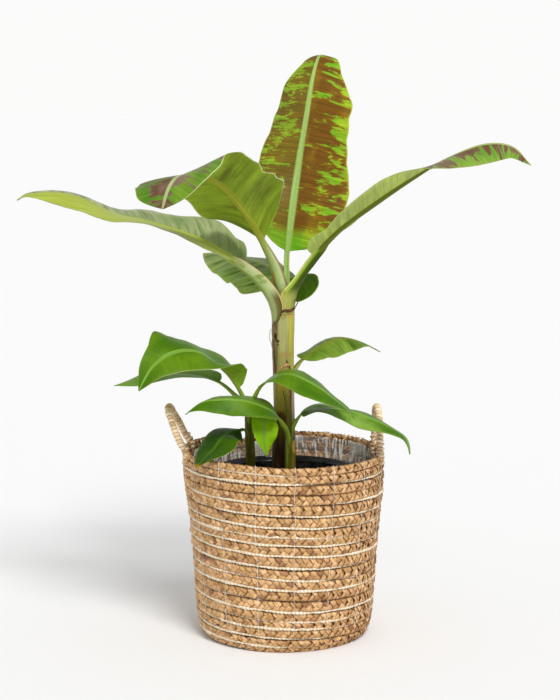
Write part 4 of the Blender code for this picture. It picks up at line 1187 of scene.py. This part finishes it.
def leafFace(name, look, upper, seed):
    # One face of a leaf: veins that sweep from the rib to the margin, blotches along them, rib and margin
    if upper:
        body, fresh, dark, rib = (look[key] for key in ("upper", "fresh", "upperDark", "ribTop"))
    else:
        body, dark, rib = (look[key] for key in ("under", "underDark", "ribUnder"))
        fresh = [min(1.0, c * 1.4) for c in body]
    sheen = look["sheen"] + (0 if upper else 0.14)
    material = newMaterial(name + ("_upper" if upper else "_under"), body, sheen, look["gloss"])
    out, along = uvParts(material, "metres")
    edge, q = uvParts(material, "shares")
    far = abs(out)
    onLeft = calc("GREATER_THAN", out, 0.0)
    side = along - far * between(onLeft, look["sweep"]) + onLeft * (3.7 + seed)
    fine = grain(spot(side * 430.0, far * 8.0), 1.0, 3.0, 0.6)
    ridge = grain(spot(side * 120.0, far * 5.0), 1.0, 2.0)
    cloud = grain(spot(along * 11.0, out * 16.0, seed), 1.0)
    colour = blend(rise(cloud, 0.38, 0.66), body, fresh)
    if dark:
        shade = grain(spot(side * look["stripe"], far * 12.0, seed * 0.7), 1.0, 4.0, 0.6)
        colour = blend(rise(shade * 0.7 + cloud * 0.3, 0.42, 0.68), colour, dark)
    colour = blend(rise(edge, 0.60, 1.0) * 0.45, colour, fresh)
    if upper and look["blotch"]:
        colour = darkStain(colour, look, edge, q, side, far, onLeft, cloud, seed)
    colour = shaded(colour, fine, (0.32, (0.74, 0.76, 0.70)), (0.5, (1, 1, 1)), (0.68, (1.20, 1.18, 1.16)),
                    share=look["veins"])
    # The ridges' tone is painted light and shade on the corrugations, over their bump
    colour = shaded(colour, ridge, (0.34, (0.80, 0.82, 0.78)), (0.5, (1, 1, 1)), (0.66, (1.12, 1.10, 1.08)),
                    share=look["veins"])
    if look["rightTint"]:
        tint, clearFrom, fullTo = look["rightTint"]
        colour = blend(rise(out, 0.004, -0.004) * rise(q, clearFrom, fullTo), colour, tint, "MULTIPLY")
    ribLines = grain(spot(out * 900.0, along * 9.0), 1.0, 2.0)
    ribColour = blend(rise(ribLines, 0.4, 0.65), [c * 0.78 for c in rib], [min(1.0, c * 1.15) for c in rib])
    if look["stalkBands"] and not upper:
        lateral = (edge + 1.0) * (onLeft * 2.0 - 1.0) + (ribLines - 0.5) * 0.25
        bands = ramp(lateral * 0.5 + 0.5, *((place / 2 + 0.5, tone) for place, tone in look["stalkBands"]))
        ribColour = blend(rise(along, look["stalk"] * 1.15, look["stalk"] * 0.75), ribColour, bands)
    colour = blend(rise(edge - between(onLeft, look["ribSpread"]), 0.03, -0.03), colour, ribColour)
    colour = blend(rise(edge, 0.965, 0.99) * 0.85, colour, look["margin"])
    if look["tip"]:
        colour = blend(rise(q, 0.90, 0.99), colour, look["tip"])
    if look["spots"] and not upper:
        colour = marked(colour, look["spots"], ribLines)
    paint("Base Color", colour)
    bump(ridge + fine * 0.2, 0.0022, 0.6 * look["veins"] + 0.05)
    return material


def makeLeaves():
    for number, (name, cut) in enumerate(mainLeaves.items()):
        leaf = {**plainLeaf, **cut}
        look = {**plainLook, **leafLooks[name], "stalk": leaf["stalk"]}
        slotName = "leaf_blotched" if look["blotch"] else "leaf"
        makeLeaf(name, leaf, look, wideSteps, leafForm["stations"], slotName, number + 1)
    for number, (name, cut) in enumerate(pupLeaves.items()):
        look = {**plainLook, **pupLook, **pupTints.get(name, {})}
        makeLeaf(name, {**plainLeaf, **cut}, look, fineSteps, leafForm["fewStations"], "pup_leaf",
                 number + 11)


# Stems. Radii and sways are by height. A lap is the edge of a sheath: angle at its low and its high end,
# their heights, and the step's height.

trunk = {
    "radii": ((0.215, 0.0185), (0.262, 0.0205), (0.300, 0.0198), (0.340, 0.0180), (0.390, 0.0170),
              (0.440, 0.0172), (0.480, 0.0178), (0.520, 0.0186), (0.548, 0.0190), (0.563, 0.0186),
              (0.578, 0.0150), (0.588, 0.0080)),
    "sway": ((0.215, -0.002, 0.002), (0.380, -0.001, 0.000), (0.500, -0.003, 0.000), (0.588, -0.002, 0.001)),
    "laps": ((-150, -115, 0.330, 0.565, 0.0016), (-40, -62, 0.215, 0.470, 0.0013),
             (150, 95, 0.215, 0.560, 0.0012), (30, 10, 0.340, 0.520, 0.0010)),
    "around": 60, "along": 150}

# Old leaf scars, dry edges and paler strips
trunkMarks = ((-15.5, 518, 5.0, 26, (0.36, 0.26, 0.15), 0.70), (-3, 524, 6.0, 42, (0.40, 0.37, 0.15), 0.65),
              (9, 526, 3.0, 40, (0.46, 0.40, 0.05), 0.75), (7, 550, 7.0, 6, (0.50, 0.26, 0.07), 0.65),
              (-2, 547, 4.0, 5, (0.20, 0.24, 0.03), 0.6), (1, 482, 11.0, 5, (0.38, 0.21, 0.06), 0.45),
              (-16.8, 466, 1.7, 34, (0.09, 0.045, 0.025), 0.8), (-8, 412, 8.5, 28, (0.34, 0.29, 0.030), 0.85),
              (5, 400, 4.5, 20, (0.16, 0.15, 0.012), 0.5), (-16.5, 419, 1.6, 30, (0.38, 0.34, 0.17), 0.5),
              (14, 395, 2.4, 30, (0.36, 0.31, 0.19), 0.85), (10.2, 415, 1.3, 22, (0.05, 0.022, 0.010), 0.9),
              (-8, 373, 9.0, 12, (0.07, 0.025, 0.012), 0.85),
              (-15.3, 512, 2.3, 7, (0.03, 0.018, 0.012), 0.95),
              (-12.3, 505, 3.2, 2.4, (0.03, 0.018, 0.012), 0.9),
              (-11.5, 499, 1.6, 2.2, (0.04, 0.02, 0.012), 0.9),
              (-14.8, 528, 1.3, 9, (0.06, 0.03, 0.015), 0.75))


def onTrunk(z, radius, angle):
    return triples(column(trunk["sway"], z, 1) + radius * np.cos(angle),
                   column(trunk["sway"], z, 2) + radius * np.sin(angle), z)


def makeTrunk():
    low, high = trunk["radii"][0][0], trunk["radii"][-1][0]

    def place(u, v):
        angle = math.tau * u
        z = low + (high - low) * v
        radius = column(trunk["radii"], z, 1)
        nearest = np.full(len(u), 1.0)
        for startAngle, endAngle, bottom, top, height in trunk["laps"]:
            share = clamped((z - bottom) / (top - bottom))
            wander = 3.0 * wobble(z * 60, int(height * 1e5) + 3)
            away = angle - np.radians(startAngle + (endAngle - startAngle) * share + wander)
            away = (away + math.pi) % math.tau - math.pi
            inside = clamped((z - bottom) / 0.015) * clamped((top - z) / 0.015)
            radius = radius + height * inside * np.where(away > 0, np.exp(-away / 0.9), 0)
            nearest = np.minimum(nearest, np.abs(away) * radius + (1 - inside))
        radius = radius + 0.0003 * wobble(angle * 6 + 100, 51) * clamped((0.56 - z) / 0.02)
        return onTrunk(z, radius, angle), pairs(angle, z), pairs(nearest, v)

    material = newMaterial("sheathedStem", (0.40, 0.45, 0.17), 0.55, 0.12)
    angle, height = uvParts(material, "metres")
    near = uvParts(material, "shares")[0]
    where, x, y, z = objectParts(material)
    streak = grain(spot(angle * 7.0, height * 9.0), 1.0, 4.0, 0.6)
    colour = ramp(rise(z, 0.25, 0.60, "LINEAR") + (streak - 0.5) * 0.35,
                  (0.0, (0.035, 0.014, 0.005)), (0.22, (0.050, 0.024, 0.006)), (0.34, (0.16, 0.125, 0.010)),
                  (0.46, (0.26, 0.22, 0.018)), (0.62, (0.29, 0.27, 0.08)), (1.0, (0.38, 0.44, 0.16)))
    aged = rise(grain(where, 55.0, 4.0, 0.6), 0.56, 0.72) * rise(z, 0.50, 0.36)
    colour = blend(aged, colour, (0.09, 0.035, 0.018))
    right = rise(x, 0.004, 0.014)
    upperRight = right * rise(z, 0.40, 0.46)
    colour = blend(upperRight * 0.7, colour, (0.42, 0.42, 0.045))
    colour = blend((right - upperRight) * 0.6, colour, (0.05, 0.040, 0.004))
    colour = marked(colour, trunkMarks, grain(spot(angle * 3.5, height * 90.0), 1.0, 4.0, 0.6))
    colour = blend(rise(near, 0.0022, 0.0004) * 0.85, colour, (0.17, 0.085, 0.035))
    colour = shaded(colour, streak, (0.35, (0.8, 0.8, 0.78)), (0.5, (1, 1, 1)), (0.7, (1.15, 1.12, 1.1)))
    paint("Base Color", colour)
    bump(grain(spot(angle * 26.0, height * 12.0), 1.0), 0.0008, 0.6)
    bm = bmesh.new()
    layGrid(bm, trunk["around"], trunk["along"], place)
    finishPiece("pseudostem_sheaths", bm, ["pseudostem"], "stem", material)


# Dry sheath: the torn collar under the crown, a curled shred beside it, a brown edge and a peeling
# strip down the left, and the torn patch above the lowest stalk. Each row of a route gives an angle
# round the stem, a height and how far it stands off.
dryBits = {
    "collar": {"route": ((-118, 0.5480, 0.0006), (-104, 0.5520, 0.0016), (-86, 0.5575, 0.0020),
                         (-66, 0.5565, 0.0024), (-46, 0.5590, 0.0022), (-26, 0.5605, 0.0030)),
               "high": 0.0026, "thick": 0.0008, "tone": "dark"},
    "shred": {"route": ((-46, 0.5590, 0.0024), (-30, 0.5640, 0.0046), (-20, 0.5700, 0.0072),
                        (-18, 0.5740, 0.0060), (-28, 0.5740, 0.0036), (-26, 0.5690, 0.0046)), "high": 0.0010,
              "thick": 0.0008, "tone": "dark"},
    "edge": {"route": ((-126, 0.5460, 0.0002), (-140, 0.5360, 0.0006), (-150, 0.5220, 0.0008),
                       (-147, 0.5060, 0.0010), (-150, 0.4900, 0.0006), (-152, 0.4700, 0.0004),
                       (-148, 0.4500, 0.0002), (-146, 0.4340, -0.0004)),
             "high": 0.0030, "thick": 0.0006, "tone": "brown"},
    "strip": {"route": ((-168, 0.5260, 0.0000), (-170, 0.5180, 0.0030), (-168, 0.5080, 0.0034),
                        (-160, 0.4980, 0.0010), (-156, 0.4880, 0.0000)), "high": 0.0016, "thick": 0.0005,
              "tone": "straw"},
    "patch": {"route": ((-112, 0.4575, -0.0006), (-98, 0.4600, 0.0000), (-82, 0.4640, 0.0008),
                        (-66, 0.4655, 0.0012), (-50, 0.4600, 0.0004)), "high": 0.0040, "thick": 0.0006,
              "tone": "orange"},
    "streak": {"route": ((-76, 0.4745, -0.0002), (-68, 0.4690, 0.0006), (-58, 0.4620, 0.0014),
                         (-50, 0.4570, 0.0010)),
               "high": 0.0016, "thick": 0.0007, "tone": "dark"}}
dryTones = {"dark": ((0.045, 0.020, 0.010), (0.17, 0.075, 0.035)),
            "brown": ((0.13, 0.065, 0.030), (0.36, 0.22, 0.12)),
            "straw": ((0.42, 0.30, 0.10), (0.62, 0.50, 0.22)),
            "orange": ((0.36, 0.17, 0.05), (0.62, 0.38, 0.17))}

dryForm = {"off": 0.0013, "spacing": 0.0008, "end": 0.006, "thinnest": 0.12, "sides": 14,
           "station": 0.0012, "fewestStations": 24}


def makeDryBits():
    for number, (name, bit) in enumerate(dryBits.items()):
        angle, z, off = np.array(bit["route"]).T
        reach = column(trunk["radii"], z, 1) + dryForm["off"] + off
        points = smoothCurve(onTrunk(z, reach, np.radians(angle)), dryForm["spacing"])
        route = Route(points, unit((points - (-0.001, 0, 0)) * (1, 1, 0)))

        def radius(around, distance):
            seed = 120 + 7 * number
            ragged = 1 + 0.5 * wobble(distance / 0.0035 + 1.5 * np.cos(around), seed)
            ragged = ragged + 0.3 * wobble(distance / 0.011, seed + 1)
            fromEnd = np.minimum(distance, route.length - distance) / dryForm["end"]
            ends = np.clip(fromEnd, dryForm["thinnest"], 1) ** 0.6
            high, thick = bit["high"] * ragged * ends, bit["thick"] * ends
            return high * thick / np.sqrt((thick * np.cos(around)) ** 2 + (high * np.sin(around)) ** 2)
        dark, pale = dryTones[bit["tone"]]
        material = newMaterial("drySheath_" + name, pale, 0.8, 0.15)
        fleck = grain(objectParts(material)[0], 260.0, 4.0, 0.65)
        paint("Base Color", ramp(fleck, (0.38, dark), (0.62, pale)))
        bump(fleck, 0.0012, 0.9)
        bm = bmesh.new()
        stations = max(dryForm["fewestStations"], round(route.length / dryForm["station"]))
        layTube(bm, route, dryForm["sides"], stations, radius)
        finishPiece("dry_sheath_" + name, bm, [], "stem", material)


# Sheaths of the left and right stalks, which wrap the crown and each other. A row gives the outer edge
# and the margin (x, z), how far the sheath bulges to the front, and the depth of its middle.
sheaths = {
    "left": {"rows": ((-0.0215, 0.5370, -0.0080, 0.5420, 0.0196, 0.000),
                      (-0.0232, 0.5522, -0.0013, 0.5556, 0.0216, 0.000),
                      (-0.0282, 0.5691, -0.0030, 0.5742, 0.0214, 0.000),
                      (-0.0366, 0.5843, -0.0131, 0.5936, 0.0178, -0.002),
                      (-0.0467, 0.5979, -0.0266, 0.6097, 0.0138, -0.005),
                      (-0.0585, 0.6105, -0.0417, 0.6241, 0.0110, -0.008),
                      (-0.0703, 0.6207, -0.0568, 0.6350, 0.0100, -0.010),
                      (-0.0820, 0.6295, -0.0703, 0.6443, 0.0094, -0.012),
                      (-0.0945, 0.6385, -0.0871, 0.6500, 0.0070, -0.011),
                      (-0.1050, 0.6460, -0.1010, 0.6530, 0.0030, -0.010)),
             "upper": ((0.0, (0.50, 0.50, 0.22)), (0.07, (0.20, 0.26, 0.02)), (0.30, (0.22, 0.30, 0.03)),
                       (0.48, (0.38, 0.48, 0.17)), (0.72, (0.44, 0.52, 0.24)), (0.93, (0.50, 0.52, 0.26)),
                       (0.968, (0.62, 0.42, 0.22)), (0.995, (0.30, 0.15, 0.07))),
             # In the lower part, the dark brown-olive band near the margin is painted shadow
             "lower": ((0.0, (0.34, 0.38, 0.12)), (0.2, (0.33, 0.39, 0.13)), (0.55, (0.36, 0.42, 0.17)),
                       (0.70, (0.17, 0.15, 0.04)), (0.925, (0.085, 0.07, 0.012)),
                       (0.958, (0.62, 0.48, 0.22)), (0.99, (0.34, 0.18, 0.07))),
             "change": (0.24, 0.38), "end": (0.36, 0.42, 0.08),
             "marks": ((-42, 614, 9, 4.5, (0.17, 0.27, 0.02), 0.75),
                       (-36, 607, 6, 4, (0.17, 0.27, 0.02), 0.6))},
    "right": {"rows": ((0.0155, 0.5500, -0.0047, 0.5500, 0.0196, 0.000),
                       (0.0176, 0.5660, -0.0089, 0.5742, 0.0204, 0.000),
                       (0.0208, 0.5860, -0.0081, 0.5869, 0.0190, -0.001),
                       (0.0260, 0.5962, 0.0037, 0.5987, 0.0158, -0.002),
                       (0.0309, 0.6055, 0.0138, 0.6105, 0.0128, -0.004),
                       (0.0366, 0.6158, 0.0239, 0.6241, 0.0106, -0.006),
                       (0.0482, 0.6308, 0.0340, 0.6393, 0.0092, -0.008),
                       (0.0590, 0.6455, 0.0470, 0.6565, 0.0078, -0.011),
                       (0.0680, 0.6570, 0.0580, 0.6670, 0.0055, -0.012),
                       (0.0745, 0.6690, 0.0700, 0.6730, 0.0020, -0.010)),
              "upper": ((0.0, (0.56, 0.54, 0.26)), (0.06, (0.12, 0.14, 0.004)), (0.18, (0.040, 0.07, 0.001)),
                        (0.66, (0.055, 0.09, 0.0015)), (0.74, (0.20, 0.33, 0.025)),
                        (0.85, (0.28, 0.43, 0.07)), (0.92, (0.54, 0.54, 0.11)), (0.99, (0.64, 0.60, 0.26))),
              "lower": ((0.0, (0.16, 0.18, 0.02)), (0.16, (0.17, 0.21, 0.02)), (0.34, (0.27, 0.31, 0.05)),
                        (0.62, (0.34, 0.36, 0.09)), (0.86, (0.38, 0.37, 0.08)), (0.945, (0.52, 0.46, 0.12)),
                        (0.985, (0.09, 0.05, 0.01))),
              "change": (0.15, 0.34), "end": (0.11, 0.15, 0.004),
              "marks": ((11, 556, 6, 5, (0.50, 0.28, 0.07), 0.6), (-2, 588, 5, 4, (0.27, 0.28, 0.03), 0.6))}}
sheathForm = {"wrap": 104, "fold": 0.0013, "leastBulge": 0.004, "knots": 121, "soft": 17, "around": 56,
              "along": 90}


def makeSheaths():
    wrap = math.radians(sheathForm["wrap"])
    fine = np.linspace(0, 1, sheathForm["knots"])
    soft = np.hanning(sheathForm["soft"]) / np.hanning(sheathForm["soft"]).sum()
    for name, cut in sheaths.items():
        table = np.array(cut["rows"])
        columns = [np.interp(fine, np.linspace(0, 1, len(table)), values) for values in table.T]
        columns = [np.convolve(np.pad(values, len(soft) // 2, "reflect", reflect_type="odd"), soft, "valid")
                   for values in columns]

        def place(u, v):
            outX, outZ, edgeX, edgeZ, bulge, depth = (np.interp(v, fine, values) for values in columns)
            s = 1 - np.abs(2 * u - 1)
            turn = wrap * s
            share = (1 - np.cos(turn)) / (1 - math.cos(wrap))
            inner = np.where(u > 0.5, sheathForm["fold"], 0.0) * clamped(s * 8) * clamped((1.02 - s) * 20)
            size = np.maximum(bulge, sheathForm["leastBulge"])
            x = outX + (edgeX - outX) * share * (1 - inner / size * 0.5)
            y = depth - (size - inner) * np.sin(turn)
            return triples(x, y, outZ + (edgeZ - outZ) * share), pairs(s * 0.03, v * 0.12), pairs(s, v)
        material = newMaterial("sheath_" + name, (0.35, 0.42, 0.15), 0.45, 0.10)
        across, along = uvParts(material, "shares")
        line = grain(spot(across * 22.0, along * 5.0), 1.0, 4.0, 0.6)
        shifted = across + (line - 0.5) * 0.10
        colour = blend(rise(along, *cut["change"]), ramp(shifted, *cut["lower"]),
                       ramp(shifted, *cut["upper"]))
        colour = blend(rise(along, 0.76, 0.94), colour, cut["end"])
        colour = marked(colour, cut["marks"], grain(objectParts(material)[0], 110.0, 4.0, 0.6))
        colour = shaded(colour, line, (0.32, (0.82, 0.82, 0.76)), (0.5, (1, 1, 1)),
                        (0.68, (1.14, 1.12, 1.08)))
        paint("Base Color", colour)
        bump(line, 0.0008, 0.5)
        bm = bmesh.new()
        layGrid(bm, sheathForm["around"], sheathForm["along"], place)
        finishPiece("sheath_" + name, bm, [], "stem", material)


# Each row of a pup's stem gives a height, the place (x, y) there and the radius
pupStems = {
    "pup_left_stem": ((0.225, -0.0575, -0.0300, 0.0082), (0.300, -0.0575, -0.0300, 0.0082),
                      (0.350, -0.0595, -0.0315, 0.0078), (0.385, -0.0610, -0.0320, 0.0068)),
    "pup_right_stem": ((0.225, 0.0090, -0.0500, 0.0092), (0.300, 0.0090, -0.0500, 0.0090),
                       (0.335, 0.0090, -0.0505, 0.0086), (0.352, 0.0090, -0.0510, 0.0062))}
spike = {"route": ((0.010, -0.051, 0.335), (0.010, -0.054, 0.372), (0.004, -0.050, 0.397),
                   (-0.003, -0.045, 0.426)),
         "radii": (0.0030, 0.0008), "spacing": 0.003, "sides": 12, "stations": 30}
pupForm = {"sides": 28, "stations": 60, "lap": 0.0005, "sunk": 0.0002}
pupMarks = ((17, 346, 4, 4, (0.06, 0.03, 0.01), 0.9), (15.5, 333, 3.5, 11, (0.48, 0.28, 0.03), 0.85),
            (4, 330, 2.0, 30, (0.24, 0.30, 0.04), 0.5), (16, 305, 3, 14, (0.20, 0.11, 0.012), 0.7))


def pupMaterial():
    material = newMaterial("pupSheath", (0.18, 0.28, 0.03), 0.45, 0.16)
    where, x, y, z = objectParts(material)
    around, along = uvParts(material, "metres")
    streak = grain(spot(around * 9.0, along * 14.0), 1.0)
    colour = ramp(streak, (0.3, (0.045, 0.058, 0.002)), (0.5, (0.085, 0.10, 0.003)),
                  (0.7, (0.17, 0.185, 0.010)))
    fleck = grain(where, 70.0)
    colour = blend(rise(fleck, 0.58, 0.70) * 0.6, colour, (0.22, 0.15, 0.012))
    colour = blend(rise(z, 0.33, 0.27) * 0.7, colour, (0.10, 0.065, 0.006))
    paint("Base Color", marked(colour, pupMarks, fleck))
    bump(streak, 0.0006, 0.5)
    return material


def makePups():
    material = pupMaterial()
    for name, rows in pupStems.items():
        z = np.linspace(rows[0][0], rows[-1][0], pupForm["stations"])
        route = Route(triples(column(rows, z, 1), column(rows, z, 2), z), (0, -1, 0))

        def radius(angle, distance):
            height = rows[0][0] + distance
            lap = ((angle + 6 * height) / math.tau * 2) % 1.0
            return column(rows, height, 3) + pupForm["lap"] * (1 - lap) - pupForm["sunk"]
        bm = bmesh.new()
        layTube(bm, route, pupForm["sides"], pupForm["stations"], radius)
        if name == "pup_right_stem":
            path = Route(smoothCurve(spike["route"], spike["spacing"]), (0, -1, 0))

            def thinned(angle, distance):
                return np.interp(distance / path.length, (0, 1), spike["radii"])
            layTube(bm, path, spike["sides"], spike["stations"], thinned)
        finishPiece(name + "_sheaths", bm, [name], "pup_stem", material)


# Floor, lights and background

studio = {"floor": 30.0, "floorColour": (0.885, 0.885, 0.88), "sun": 2.1, "sunSoftness": 22.0,
          "sunFrom": (0.30, -0.78, 0.92), "horizon": (0.965, 0.965, 0.96), "overhead": (0.48, 0.48, 0.49)}


def makeStudio():
    bm = bmesh.new()
    bmesh.ops.create_grid(bm, x_segments=1, y_segments=1, size=studio["floor"])
    mesh = bpy.data.meshes.new("floor")
    bm.to_mesh(mesh)
    bm.free()
    mesh.materials.append(newMaterial("paleFloor", studio["floorColour"], 0.9, 0.0))
    floor = addObject("floor", mesh)
    data = bpy.data.lights.new("key", "SUN")
    data.energy = studio["sun"]
    data.angle = math.radians(studio["sunSoftness"])
    key = addObject("key", data)
    key.rotation_euler = Vector(studio["sunFrom"]).to_track_quat("Z", "Y").to_euler()
    world = bpy.data.worlds.new("studio")
    world.use_nodes = True
    upward = split(addNode(world, "TexCoord", {}, "Generated"))[2]
    glow = ramp(rise(upward, 0.12, 0.8), (0.0, studio["horizon"]), (1.0, studio["overhead"]))
    feed(world.node_tree.nodes["Background"].inputs["Color"], glow)
    bpy.context.scene.world = world
    bpy.context.scene.view_settings.view_transform = "Standard"


placeCamera()
makeStudio()
print("studio ready")
makeWall()
makeCord()
makeFiller()
makeStitches()
makeBase()
rope = ropeMaterial()
sides = (("left", -1), ("right", 1))
for name, side in sides:
    makeHandle(name, side, rope)
for name, side in sides:
    makeLashing(name, side, rope)
makeLooseEnds(rope)
print("basket ready")
makeLiner()
makePot()
makeSoil()
print("pot ready")
makeTrunk()
makeSheaths()
makeDryBits()
makePups()
makeLeaves()
print("plant ready")
